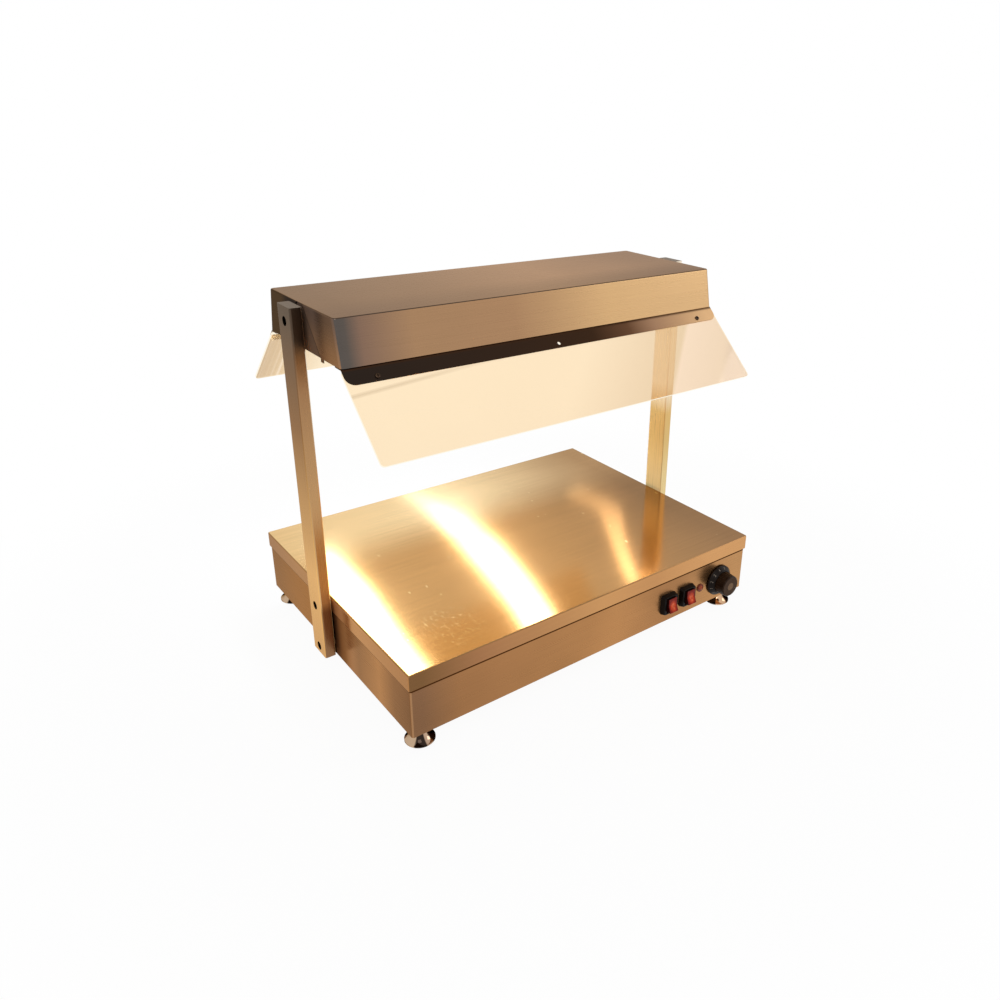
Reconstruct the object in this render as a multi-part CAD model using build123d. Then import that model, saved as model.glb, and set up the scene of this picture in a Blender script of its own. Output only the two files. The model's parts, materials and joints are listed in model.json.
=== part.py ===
from build123d import *
import math
import os

# Food warmer with a gantry, in millimetres
# The floor is z = 0, X runs along the hot plate, and the controls face -Y

# Overall sizes
plate_length = 600.0
plate_width = 450.0
base_height = 93.5
foot_height = 23.0
whole_height = 518.0

# Clearances
lid_gap = 0.3
running_fit = 0.05
seat_fit = 0.1
hole_fit = 0.3

# Hot plate lid
lid_sheet = 1.5
lid_lip = 22.5
lid_inner_corner = 1.0
lid_bend = 2.0

# Base casing, folded from sheet with a narrow top flange and a wide bottom flange
casing_sheet = 1.2
casing_inner_corner = 2.0
casing_top_flange = 14.0
casing_bottom_flange = 44.0

# Bottom panel with two fields of vent slots
panel_sheet = 1.0
panel_lap = 12.0
panel_corner = 6.0
vent_length = 90.0
vent_width = 5.0
vent_pitch = 14.0
vent_rows = 7
vent_offset = 140.0
panel_screw_radius = 1.75
panel_screw_length = 6.0
panel_screw_head_radius = 3.5
panel_screw_head = 2.0

# Feet that screw in and out
foot_left_inset = 19.5
foot_right_inset = 33.0
foot_side_inset = 19.0
foot_radius = 19.5
foot_rim = 2.5
foot_rim_round = 0.8
foot_neck_radius = 9.0
foot_neck_height = 5.0
foot_flare_sag = 2.6
foot_stop_gap = 0.3
stud_radius = 4.0
stud_length = 28.0
pad_radius = 17.0
pad_thickness = 3.0
pad_proud = 1.0
insert_flats = 13.0
insert_height = 8.0

# Heating element, a tube folded into legs under the plate
element_radius = 4.0
element_legs = 4
element_side_margin = 75.0
element_end_margin = 65.0
element_pin_radius = 1.8
element_pin_length = 14.0

# Clamp bars, insulation and heat shield, all drawn up by studs welded under the plate
clamp_count = 3
clamp_inset = 35.0
clamp_width = 20.0
clamp_thickness = 3.0
clamp_overhang = 16.0
weld_stud_radius = 2.5
weld_stud_tail = 1.2
stud_nut_flats = 8.0
stud_nut_height = 4.0
mat_end_margin = 50.0
mat_side_margin = 30.0
mat_thickness = 20.0
shield_sheet = 0.8
shield_rim = 15.0

# Control row on the front wall
control_fall = 3.5
knob_inset = 58.0
pilot_pitch = 41.0
switch_fall = 1.3
switch_pilot_pitch = 30.4
switch_pitch = 38.6

# Rocker switches, whose bezels stand well proud of the wall and narrow towards the front
bezel_side_lap = 5.6
bezel_end_lap = 3.1
bezel_proud = 7.5
bezel_draft = 17.0
bezel_corner = 5.5
bezel_edge = 0.9
housing_wall = 1.2
housing_depth = 24.0
rocker_width = 16.5
rocker_half_length = 11.5
rocker_root_half_length = 10.0
rocker_tail_half_length = 5.5
rocker_tail = 6.0
rocker_valley = 7.5
rocker_tilt = 12.0
rocker_edge = 0.8
rocker_gap = 0.4
pivot_depth = 4.0
pivot_radius = 1.5
pivot_length = 0.9
switch_floor_gap = 0.7
switch_tab_width = 6.3
switch_tab_thickness = 0.8
switch_tab_length = 9.0
switch_tab_pitch = 8.0

# Pilot lamp
pilot_flange_radius = 6.5
pilot_flange = 1.5
pilot_body_radius = 5.0
pilot_body_length = 24.0
pilot_lens_radius = 4.4
pilot_lens_depth = 5.0
pilot_lens_dome = 2.8

# Thermostat
thermostat_size = 36.0
thermostat_depth = 24.0
thermostat_chamfer = 6.0
thermostat_screw_pitch = 27.0
thermostat_screw_radius = 2.0
thermostat_screw_length = 8.0
thermostat_screw_head_radius = 3.5
thermostat_screw_head = 2.2
spindle_radius = 3.0
spindle_depth = 11.0
spindle_flat = 1.5
spindle_hole_radius = 5.0
bulb_radius = 3.0
bulb_length = 100.0
bulb_inset = 32.0
bulb_setback = 75.0
capillary_radius = 1.0
capillary_bend = 6.0
capillary_room = 20.0
capillary_offset = 10.0
clip_width = 10.0
clip_sheet = 1.0
clip_foot = 7.0
clip_end_gap = 20.0

# Knob: a skirt, a fluted grip and a disc let into its front
knob_wall_gap = 1.2
knob_skirt_radius = 25.0
knob_skirt_rim = 1.6
knob_shell = 2.0
knob_cone_radius = 18.6
knob_cone_height = 9.0
knob_grip_radius = 18.0
knob_front_radius = 17.0
knob_reach = 26.8
knob_front_round = 1.4
knob_front_wall = 3.8
knob_hub_radius = 7.0
knob_flutes = 16
knob_flute_radius = 2.2
knob_flute_depth = 0.9
knob_cap_radius = 6.2
knob_cap_thickness = 1.0

# Cable gland in the rear wall
gland_inset = 75.0
gland_hex_flats = 24.0
gland_hex_height = 7.0
gland_neck_radius = 10.0
gland_neck_length = 11.0
gland_spigot_radius = 8.4
gland_spigot_length = 8.0
gland_bore_radius = 5.5
gland_reach = 26.8
gland_dome_radius = 8.5
gland_dome_height = 9.0
gland_dome_lip = 4.0
gland_seal_bore_radius = 4.4
gland_locknut_flats = 26.0
gland_locknut_height = 5.0

# Gantry posts of rectangular tube
post_depth = 38.5
post_thickness = 15.0
post_wall = 1.5
post_inner_corner = 0.8
post_gap = 4.5
post_lift = 8.5
post_drop = 1.5
post_cap = 2.0
access_radius = 6.0
upper_bolt_drop = 9.5
lower_bolt_rise = 19.0
hood_bolt_drop = 20.0

# Bolts, nuts and spacers of the gantry frame
bolt_radius = 3.0
bolt_head_radius = 5.0
bolt_head_height = 6.0
bolt_socket_flats = 5.0
bolt_socket_depth = 3.0
bolt_tail = 1.5
nut_flats = 10.0
nut_height = 5.0
spacer_radius = 6.0

# Hood, folded from sheet, wider at the bottom, with lapped flaps at its corners
hood_post_gap = 4.5
hood_height = 56.5
hood_top_width = 188.5
hood_bottom_width = 211.0
hood_sheet = 1.2
hood_inner_corner = 3.8
hood_edge = 2.0
hood_lip_round = 0.8
hood_return = 17.0
flap_sheet = 1.0
flap_top_half_gap = 7.5
flap_bottom_half_gap = 51.0
flap_tab_width = 7.0
flap_tab_drop = 4.0
flap_tab_root = 4.0

# Guards and the brackets that hold them under the hood
bracket_sheet = 1.2
bracket_width = 22.0
bracket_setback = 1.5
bracket_end_gap = 0.5
bracket_corner = 12.0
guard_angle = 43.5
guard_depth = 125.0
guard_thickness = 3.0
guard_top_gap = 4.0
guard_corner = 5.0
guard_screw_inset = 39.0
guard_screw_edge = 6.5
guard_screw_radius = 2.0
guard_screw_head_radius = 3.2
guard_screw_head = 1.8
guard_screw_round = 1.1
guard_screw_cross_length = 3.6
guard_screw_cross_width = 0.9
guard_screw_cross_depth = 1.2
guard_screw_tail = 1.0
guard_nut_flats = 7.0
guard_nut_height = 3.2
guard_hole_radius = 2.5
rivet_pitch = 210.0
rivet_inset = 9.5
rivet_radius = 1.6
rivet_head_radius = 3.2
rivet_head = 1.2

# Reflector trough inside the hood
reflector_end_gap = 33.0
reflector_sheet = 0.8
reflector_shoulder = 49.25
reflector_drop = 12.0
reflector_step = 2.0
reflector_foot = 10.0

# Quartz lamps end to end, in ceramic holders
lamp_end_room = 72.8
lamp_spacing = 10.0
lamp_drop = 30.0
lamp_radius = 5.5
lamp_glass = 1.3
lamp_cap_radius = 4.8
lamp_cap_length = 14.0
filament_radius = 1.5
filament_length = 150.0
filament_tail_radius = 0.7
holder_width = 18.0
holder_length = 13.5
socket_depth = 9.0
socket_clearance = 0.2

# Terminal blocks and the lead through the right post
block_length = 24.0
block_width = 36.0
block_base = 8.0
block_tower_height = 12.0
block_tower_width = 9.0
block_tower_length = 16.0
block_wire_radius = 2.2
base_block_inset = 17.0
hood_block_inset = 17.0
lead_radius = 2.5
lead_wall_room = 4.9
lead_base_rise = 45.0
lead_hood_drop = 40.0
lead_bend = 12.0
lead_post_bend = 6.5
grommet_radius = 4.0
grommet_flange_radius = 6.0
grommet_flange = 1.5

# Levels and planes that follow from the sizes above
plate_top = foot_height + base_height
lid_under = plate_top - lid_sheet
casing_length = plate_length - 2 * (lid_sheet + lid_gap)
casing_width = plate_width - 2 * (lid_sheet + lid_gap)
casing_height = lid_under - foot_height
wall_x = casing_length / 2
wall_y = casing_width / 2
inner_x = wall_x - casing_sheet
flange_top = foot_height + casing_sheet
foot_left_x = foot_left_inset - wall_x
foot_right_x = wall_x - foot_right_inset
foot_y = wall_y - foot_side_inset
wall_middle_z = (foot_height + plate_top - lid_lip) / 2
control_z = wall_middle_z - control_fall
knob_x = plate_length / 2 - knob_inset
pilot_x = knob_x - pilot_pitch
switch_xs = (pilot_x - switch_pilot_pitch - switch_pitch, pilot_x - switch_pilot_pitch)
spindle_reach = knob_reach - knob_cap_thickness - knob_front_wall
bulb_x = plate_length / 2 - bulb_inset
bulb_front_y = -plate_width / 2 + bulb_setback
bolt_hole_radius = bolt_radius + hole_fit
hood_top = whole_height
hood_bottom = hood_top - hood_height
post_inner = plate_length / 2 + post_gap
post_outer = post_inner + post_thickness
post_bottom = foot_height + post_lift
post_top = hood_top - post_drop
upper_bolt_z = plate_top - upper_bolt_drop
lower_bolt_z = foot_height + lower_bolt_rise
hood_bolt_z = hood_top - hood_bolt_drop
hood_end_x = post_inner - hood_post_gap
hood_wall_x = hood_end_x - flap_sheet
hood_inside_x = hood_wall_x - hood_sheet
lead_base_z = foot_height + lead_base_rise
lead_hood_z = hood_top - lead_hood_drop
lead_post_x = post_inner + post_thickness / 2
lead_y = post_depth / 2 - post_wall - lead_wall_room
guard_screw_drop = bracket_width - guard_screw_edge
reflector_length = 2 * (hood_inside_x - reflector_end_gap)
reflector_flat = hood_top_width - 2 * reflector_shoulder
reflector_mouth = hood_bottom_width - 2 * (hood_return - reflector_step)
lamp_length = hood_inside_x - lamp_end_room - lamp_spacing / 2
reflector_z = hood_top - reflector_drop
lamp_z = hood_top - lamp_drop
element_z = lid_under - element_radius
clamp_top = lid_under - 2 * element_radius
mat_top = clamp_top - clamp_thickness
mat_bottom = mat_top - mat_thickness
shield_bottom = mat_bottom - shield_sheet
mat_length = plate_length - 2 * mat_end_margin
mat_width = plate_width - 2 * mat_side_margin
element_leg_pitch = (plate_width - 2 * element_side_margin) / (element_legs - 1)
element_tip = plate_length / 2 - element_end_margin
element_half_leg = element_tip - element_leg_pitch / 2
clamp_pitch = 2 * (element_half_leg - clamp_inset) / (clamp_count - 1)
stud_ys = [(row + 0.5 - (element_legs - 1) / 2) * element_leg_pitch for row in range(element_legs - 1)]
stud_xs = [(row - (clamp_count - 1) / 2) * clamp_pitch for row in range(clamp_count)]

# Frames for what is mounted on the front and rear walls: x across, y up or down, z outwards
front_wall = Plane(origin=(0, -wall_y, control_z), x_dir=(1, 0, 0), z_dir=(0, -1, 0)).location
gland_x = plate_length / 2 - gland_inset
gland_wall = Plane(origin=(gland_x, wall_y, wall_middle_z), x_dir=(-1, 0, 0), z_dir=(0, 1, 0)).location

# The front guard bracket starts at its bend, runs down its slope, and faces away from the user
slope = math.radians(guard_angle)
bend_y = -(hood_bottom_width / 2 - bracket_setback)
down_slope = Vector(0, -math.cos(slope), -math.sin(slope))
behind_slope = Vector(0, math.sin(slope), -math.cos(slope))


def slab(x, y, z):
    """A block between a low and a high value along each axis."""
    spans = (x, y, z)
    middle = [(low + high) / 2 for low, high in spans]
    return Pos(*middle) * Box(*[high - low for low, high in spans])


def rod_x(radius, start, end, y, z):
    """A round bar along X."""
    return Pos((start + end) / 2, y, z) * Rot(0, 90, 0) * Cylinder(radius, abs(end - start))


def rod_z(radius, start, end, x=0.0, y=0.0):
    """A round bar along Z."""
    return Pos(x, y, (start + end) / 2) * Cylinder(radius, abs(end - start))


def hex_bar(flats, height):
    """A hexagonal bar standing on the XY plane."""
    return extrude(RegularPolygon(flats / 2, 6, major_radius=False), height)


def nut(flats, height, radius):
    """A hexagon nut standing on the XY plane, with a plain bore."""
    return hex_bar(flats, height) - rod_z(radius + running_fit, 0, height)


def spun(points):
    """A solid of revolution about Z from an outline of radius and height."""
    return revolve(Plane.XZ * make_face(Polyline(*points, close=True)), Axis.Z)


def along_x(outline, start, end):
    """An outline of (y, z) points pulled along X."""
    return extrude(Plane.YZ.offset(start) * outline, end - start)


def polygon(*points):
    return make_face(Polyline(*points, close=True))


def bent_sheet(points, thickness):
    """Outline of folded sheet: one face follows the points and the other lies to their left."""
    path = [Vector(*point) for point in points]
    runs = [(after - before).normalized() for before, after in zip(path, path[1:])]
    sides = [Vector(-run.Y, run.X) for run in runs]
    back = [path[0] + sides[0] * thickness]
    for corner, before, after in zip(path[1:], sides, sides[1:]):
        back.append(corner + (before + after) * (thickness / (1 + before.dot(after))))
    back.append(path[-1] + sides[-1] * thickness)
    return polygon(*path, *reversed(back))


def rounded_plate(length, width, corner, bottom, height):
    """A block with rounded upright edges, standing at a level."""
    return Pos(0, 0, bottom) * extrude(RectangleRounded(length, width, corner), height)


def both_ends(part):
    """A part of the right end, and its mirror image at the left end."""
    return [part, mirror(part, about=Plane.YZ)]


def hot_plate_lid():
    """Pressed plate with a lip turned down all round, bolted through at its ends."""
    lip_bottom = plate_top - lid_lip
    shell = rounded_plate(plate_length, plate_width, lid_inner_corner + lid_sheet, lip_bottom, lid_lip)
    shell = fillet(shell.faces().sort_by(Axis.Z)[-1].edges(), lid_bend)
    inside_length = plate_length - 2 * lid_sheet
    inside_width = plate_width - 2 * lid_sheet
    shell -= rounded_plate(inside_length, inside_width, lid_inner_corner, lip_bottom, lid_lip - lid_sheet)
    return shell - rod_x(bolt_hole_radius, -plate_length / 2, plate_length / 2, 0, upper_bolt_z)


def base_casing():
    """Four walls with inward flanges, pierced for the controls, gland, bolts, feet and lead."""
    corner = casing_inner_corner + casing_sheet
    shell = rounded_plate(casing_length, casing_width, corner, foot_height, casing_height)
    inside_length = casing_length - 2 * casing_sheet
    inside_width = casing_width - 2 * casing_sheet
    inside_height = casing_height - 2 * casing_sheet
    shell -= rounded_plate(inside_length, inside_width, casing_inner_corner, flange_top, inside_height)
    flanges = ((casing_top_flange, lid_under - casing_sheet), (casing_bottom_flange, foot_height))
    for flange, level in flanges:
        opening = Rectangle(casing_length - 2 * flange, casing_width - 2 * flange)
        shell -= Pos(0, 0, level) * extrude(opening, casing_sheet)
    shell -= [front_wall * hole for hole in control_holes()]
    shell -= gland_wall * rod_z(gland_neck_radius + seat_fit, -casing_sheet, 0)
    for level in (upper_bolt_z, lower_bolt_z):
        shell -= rod_x(bolt_hole_radius, -wall_x, wall_x, 0, level)
    shell -= rod_x(grommet_radius + seat_fit, inner_x, wall_x, lead_y, lead_base_z)
    for x, y in foot_places.values():
        shell -= rod_z(stud_radius + hole_fit, foot_height, flange_top, x, y)
    for x, y in panel_screw_places():
        shell -= rod_z(panel_screw_radius + running_fit, foot_height, flange_top, x, y)
    return shell


def control_holes():
    """Cut-outs of the front wall, in its own frame."""
    holes = []
    for x in switch_xs:
        opening = Rectangle(housing_width() + 2 * seat_fit, housing_height() + 2 * seat_fit)
        holes.append(Pos(x, -switch_fall, -casing_sheet) * extrude(opening, casing_sheet))
    holes.append(rod_z(pilot_body_radius + seat_fit, -casing_sheet, 0, pilot_x))
    holes.append(rod_z(spindle_hole_radius, -casing_sheet, 0, knob_x))
    for x in thermostat_screw_xs():
        holes.append(rod_z(thermostat_screw_radius + hole_fit, -casing_sheet, 0, x))
    return holes


def panel_screw_places():
    """Eight screws round the bottom panel, in the middle of its lap."""
    reach_x = wall_x - casing_bottom_flange + panel_lap / 2
    reach_y = wall_y - casing_bottom_flange + panel_lap / 2
    steps = [(x, y) for x in (-1, 0, 1) for y in (-1, 0, 1) if x or y]
    return [(x * reach_x, y * reach_y) for x, y in steps]


def bottom_panel():
    """Flat panel under the casing's flange, with two fields of vent slots."""
    length = casing_length - 2 * casing_bottom_flange + 2 * panel_lap
    width = casing_width - 2 * casing_bottom_flange + 2 * panel_lap
    panel = rounded_plate(length, width, panel_corner, foot_height - panel_sheet, panel_sheet)
    slot = Pos(0, 0, foot_height - panel_sheet) * extrude(SlotOverall(vent_length, vent_width), panel_sheet)
    for x in (-vent_offset, vent_offset):
        for row in range(vent_rows):
            panel -= Pos(x, (row - (vent_rows - 1) / 2) * vent_pitch, 0) * slot
    for x, y in panel_screw_places():
        panel -= rod_z(panel_screw_radius + running_fit, foot_height - panel_sheet, foot_height, x, y)
    return panel


def bottom_screws():
    """Pan-head screws up through the bottom panel."""
    under = foot_height - panel_sheet
    screw = rod_z(panel_screw_radius, under, under + panel_screw_length)
    screw += rod_z(panel_screw_head_radius, under - panel_screw_head, under)
    return [Pos(x, y, 0) * screw for x, y in panel_screw_places()]


def foot():
    """Flared bell with a stud, seated against the casing when it is screwed right in."""
    top = foot_height - foot_stop_gap
    rim_top = pad_proud + foot_rim
    neck_bottom = top - foot_neck_height
    flare_start = Vector(foot_radius, rim_top)
    flare_end = Vector(foot_neck_radius, neck_bottom)
    flare = flare_end - flare_start
    inward = Vector(-flare.Y, flare.X).normalized()
    flare_middle = (flare_start + flare_end) * 0.5 + inward * foot_flare_sag
    seat_radius = pad_radius + seat_fit
    lower = Polyline(
        (0, pad_thickness),
        (seat_radius, pad_thickness),
        (seat_radius, pad_proud),
        (foot_radius - foot_rim_round, pad_proud),
        (foot_radius, pad_proud + foot_rim_round),
        flare_start,
    )
    upper = Polyline(
        flare_end,
        (foot_neck_radius, top),
        (stud_radius, top),
        (stud_radius, top + stud_length),
        (0, top + stud_length),
        (0, pad_thickness),
    )
    outline = make_face([lower, ThreePointArc(flare_start, flare_middle, flare_end), upper])
    return revolve(Plane.XZ * outline, Axis.Z)


foot_places = {
    "front_left": (foot_left_x, -foot_y),
    "front_right": (foot_right_x, -foot_y),
    "rear_left": (foot_left_x, foot_y),
    "rear_right": (foot_right_x, foot_y),
}


def foot_pad():
    return rod_z(pad_radius, 0, pad_thickness)


def foot_inserts():
    """Nuts welded on the bottom flange, which the feet screw into."""
    insert = nut(insert_flats, insert_height, stud_radius)
    return [Pos(x, y, flange_top) * insert for x, y in foot_places.values()]


def heating_element():
    """One tube folded into legs, with its two terminal pins at the right end."""
    turn = element_leg_pitch / 2
    ys = [(leg - (element_legs - 1) / 2) * element_leg_pitch for leg in range(element_legs)]
    lines = []
    start_x = element_tip
    for leg, y in enumerate(ys):
        last = leg == element_legs - 1
        end_x = math.copysign(element_tip if last else element_half_leg, -start_x)
        lines.append(Line((start_x, y, element_z), (end_x, y, element_z)))
        if not last:
            tip = (math.copysign(element_tip, end_x), y + turn, element_z)
            lines.append(ThreePointArc((end_x, y, element_z), tip, (end_x, y + 2 * turn, element_z)))
        start_x = end_x
    path = Wire(lines)
    section = Plane(origin=path @ 0, z_dir=path % 0) * Circle(element_radius)
    tube = sweep(section, path)
    for y in (ys[0], ys[-1]):
        tube += rod_x(element_pin_radius, element_tip, element_tip + element_pin_length, y, element_z)
    return tube


def element_clamps():
    """Flat bars across the element's legs."""
    reach = (element_legs - 1) / 2 * element_leg_pitch + clamp_overhang
    bars = []
    for x in stud_xs:
        bar = slab((x - clamp_width / 2, x + clamp_width / 2), (-reach, reach), (mat_top, clamp_top))
        bars.append(bar - stud_holes(mat_top, clamp_top, [x]))
    return bars


def stud_holes(bottom, top, xs):
    radius = weld_stud_radius + seat_fit
    return [rod_z(radius, bottom, top, x, y) for x in xs for y in stud_ys]


def insulation_mat():
    mat = slab((-mat_length / 2, mat_length / 2), (-mat_width / 2, mat_width / 2), (mat_bottom, mat_top))
    return mat - stud_holes(mat_bottom, mat_top, stud_xs)


def heat_shield():
    """Shallow tray that carries the insulation."""
    outer_x = mat_length / 2 + shield_sheet
    outer_y = mat_width / 2 + shield_sheet
    tray = slab((-outer_x, outer_x), (-outer_y, outer_y), (shield_bottom, mat_bottom + shield_rim))
    tray -= slab((-mat_length / 2, mat_length / 2), (-mat_width / 2, mat_width / 2), (mat_bottom, mat_top))
    return tray - stud_holes(shield_bottom, mat_bottom, stud_xs)


def plate_studs():
    """Studs welded under the plate, through the clamps, the insulation and the shield."""
    bottom = shield_bottom - stud_nut_height - weld_stud_tail
    return [rod_z(weld_stud_radius, bottom, lid_under, x, y) for x in stud_xs for y in stud_ys]


def stud_nuts():
    part = nut(stud_nut_flats, stud_nut_height, weld_stud_radius)
    return [Pos(x, y, shield_bottom - stud_nut_height) * part for x in stud_xs for y in stud_ys]


def pocket_half_length():
    """Half the length of the well that the tilted rocker's end needs at the bezel's face."""
    tilt = math.radians(rocker_tilt)
    end_height = rocker_valley + rocker_half_length * math.tan(tilt)
    lean = rocker_half_length - rocker_root_half_length
    sunk = pivot_depth + rocker_root_half_length * math.sin(tilt)
    share = min(1.0, sunk / (end_height * math.cos(tilt) - lean * math.sin(tilt)))
    along = (rocker_root_half_length + lean * share) * math.cos(tilt)
    return along + end_height * share * math.sin(tilt) + rocker_gap


def housing_width():
    return rocker_width + 2 * (rocker_gap + housing_wall)


def housing_height():
    return 2 * (pocket_half_length() + housing_wall)


def switch_housing():
    """Bezel, body and rear tabs of a rocker switch, in the front wall's frame."""
    bezel_width = housing_width() + 2 * bezel_side_lap
    bezel_height = housing_height() + 2 * bezel_end_lap
    bezel = extrude(RectangleRounded(bezel_width, bezel_height, bezel_corner), bezel_proud, taper=bezel_draft)
    bezel = fillet(bezel.faces().sort_by(Axis.Z)[-1].edges(), bezel_edge)
    body = Pos(0, 0, -housing_depth) * extrude(Rectangle(housing_width(), housing_height()), housing_depth)
    pivot = bezel_proud - pivot_depth
    floor = pivot - math.hypot(rocker_tail, rocker_tail_half_length) - switch_floor_gap
    well = Rectangle(rocker_width + 2 * rocker_gap, 2 * pocket_half_length())
    housing = bezel + body - Pos(0, 0, floor) * extrude(well, bezel_proud - floor)
    pin_half_length = rocker_width / 2 + rocker_gap + pivot_length + seat_fit
    housing -= rod_x(pivot_radius + running_fit, -pin_half_length, pin_half_length, 0, pivot)
    for y in (-switch_tab_pitch, 0, switch_tab_pitch):
        tab_y = (y - switch_tab_thickness / 2, y + switch_tab_thickness / 2)
        tab_z = (-housing_depth - switch_tab_length, -housing_depth)
        housing += slab((-switch_tab_width / 2, switch_tab_width / 2), tab_y, tab_z)
    return housing


def rocker():
    """Rocker with a shallow valley and two pivot pins, its upper end pressed in, in the wall's frame."""
    end_height = rocker_valley + rocker_half_length * math.tan(math.radians(rocker_tilt))
    side = [
        (rocker_half_length, end_height),
        (rocker_root_half_length, 0),
        (rocker_tail_half_length, -rocker_tail),
    ]
    other_side = [(-y, z) for y, z in reversed(side)]
    cap = along_x(polygon((0, rocker_valley), *side, *other_side), -rocker_width / 2, rocker_width / 2)
    front_edges = cap.edges().filter_by(lambda edge: edge.center().Z > rocker_valley / 2)
    cap = fillet([edge for edge in front_edges if abs(edge.center().Y) > rocker_edge], rocker_edge)
    pin_half_length = rocker_width / 2 + rocker_gap + pivot_length
    cap += rod_x(pivot_radius, -pin_half_length, pin_half_length, 0, 0)
    return Pos(0, 0, bezel_proud - pivot_depth) * Rot(-rocker_tilt, 0, 0) * cap


def pilot_lamp_body():
    body = rod_z(pilot_body_radius, -pilot_body_length, 0) + rod_z(pilot_flange_radius, 0, pilot_flange)
    return body - rod_z(pilot_lens_radius + seat_fit, -pilot_lens_depth, pilot_flange)


def pilot_lamp_lens():
    """Plug with a domed front."""
    dome_top = (0, pilot_flange + pilot_lens_dome)
    dome_edge = (pilot_lens_radius, pilot_flange)
    sphere = (pilot_lens_radius**2 + pilot_lens_dome**2) / (2 * pilot_lens_dome)
    half_turn = math.asin(min(1.0, pilot_lens_radius / sphere)) / 2
    middle = (sphere * math.sin(half_turn), dome_top[1] - sphere * (1 - math.cos(half_turn)))
    sides = Polyline(dome_top, (0, -pilot_lens_depth), (pilot_lens_radius, -pilot_lens_depth), dome_edge)
    outline = make_face([sides, ThreePointArc(dome_edge, middle, dome_top)])
    return revolve(Plane.XZ * outline, Axis.Z)


def thermostat_screw_xs():
    return (knob_x - thermostat_screw_pitch / 2, knob_x + thermostat_screw_pitch / 2)


def thermostat_body():
    """Body behind the front wall, bored for the spindle and its two screws."""
    face = -casing_sheet
    square = Rectangle(thermostat_size, thermostat_size)
    box = Pos(0, 0, face - thermostat_depth) * extrude(square, thermostat_depth)
    box = chamfer(box.edges().filter_by(Axis.Z), thermostat_chamfer)
    box -= rod_z(spindle_radius + running_fit, -spindle_depth, face)
    body = Pos(knob_x, 0, 0) * box
    for x in thermostat_screw_xs():
        body -= rod_z(thermostat_screw_radius + running_fit, -thermostat_screw_length, face, x)
    return body


def thermostat_screws():
    screw = rod_z(thermostat_screw_radius, -thermostat_screw_length, 0)
    screw += rod_z(thermostat_screw_head_radius, 0, thermostat_screw_head)
    return [Pos(x, 0, 0) * screw for x in thermostat_screw_xs()]


def thermostat_spindle():
    """Round spindle with a flat on its front half."""
    start = knob_wall_gap + knob_skirt_rim - hole_fit
    spindle = rod_z(spindle_radius, -spindle_depth, spindle_reach)
    flat_y = (spindle_radius - spindle_flat, spindle_radius)
    flat = slab((-spindle_radius, spindle_radius), flat_y, (start, spindle_reach))
    return Pos(knob_x, 0, 0) * (spindle - flat)


def thermostat_knob():
    """Hollow skirt, fluted grip and a hub with a flat-sided bore."""
    cone_top = knob_wall_gap + knob_cone_height
    rim_top = knob_wall_gap + knob_skirt_rim
    hollow_top = cone_top - knob_shell
    outline = [
        (knob_hub_radius, knob_wall_gap + knob_skirt_rim),
        (knob_hub_radius, hollow_top),
        (knob_cone_radius - knob_shell, hollow_top),
        (knob_skirt_radius - knob_shell, knob_wall_gap),
        (knob_skirt_radius, knob_wall_gap),
        (knob_skirt_radius, rim_top),
        (knob_cone_radius, cone_top),
        (knob_grip_radius, cone_top),
        (knob_front_radius, knob_reach - knob_front_round),
        (knob_front_radius - knob_front_round, knob_reach),
        (knob_cap_radius + seat_fit, knob_reach),
        (knob_cap_radius + seat_fit, knob_reach - knob_cap_thickness),
        (0, knob_reach - knob_cap_thickness),
        (0, knob_wall_gap + knob_skirt_rim),
    ]
    knob = spun(outline)
    flute_x = knob_grip_radius + knob_flute_radius - knob_flute_depth
    groove = rod_z(knob_flute_radius, cone_top, knob_reach, flute_x)
    knob -= [Rot(0, 0, 360 * turn / knob_flutes) * groove for turn in range(knob_flutes)]
    bore_radius = spindle_radius + running_fit
    bore_z = (knob_wall_gap, spindle_reach + running_fit)
    bore = rod_z(bore_radius, *bore_z)
    flat_y = spindle_radius - spindle_flat + running_fit
    bore -= slab((-bore_radius, bore_radius), (flat_y, bore_radius), bore_z)
    return Pos(knob_x, 0, 0) * (knob - bore)


def knob_cap():
    return rod_z(knob_cap_radius, knob_reach - knob_cap_thickness, knob_reach, knob_x)


def thermostat_bulb():
    """Sensing bulb under the plate, with the capillary tube that runs to the thermostat."""
    bulb_z = lid_under - bulb_radius
    body_rear_y = -wall_y + casing_sheet + thermostat_depth
    drop_y = body_rear_y + capillary_room
    entry_x = knob_x + capillary_offset
    path = FilletPolyline(
        (bulb_x, bulb_front_y, bulb_z),
        (bulb_x, drop_y, bulb_z),
        (bulb_x, drop_y, control_z),
        (entry_x, drop_y, control_z),
        (entry_x, body_rear_y, control_z),
        radius=capillary_bend,
    )
    section = Plane(origin=path @ 0, z_dir=path % 0) * Circle(capillary_radius)
    middle = Pos(bulb_x, bulb_front_y + bulb_length / 2, bulb_z)
    bulb = middle * Rot(90, 0, 0) * Cylinder(bulb_radius, bulb_length)
    return bulb + sweep(section, path)


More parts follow.
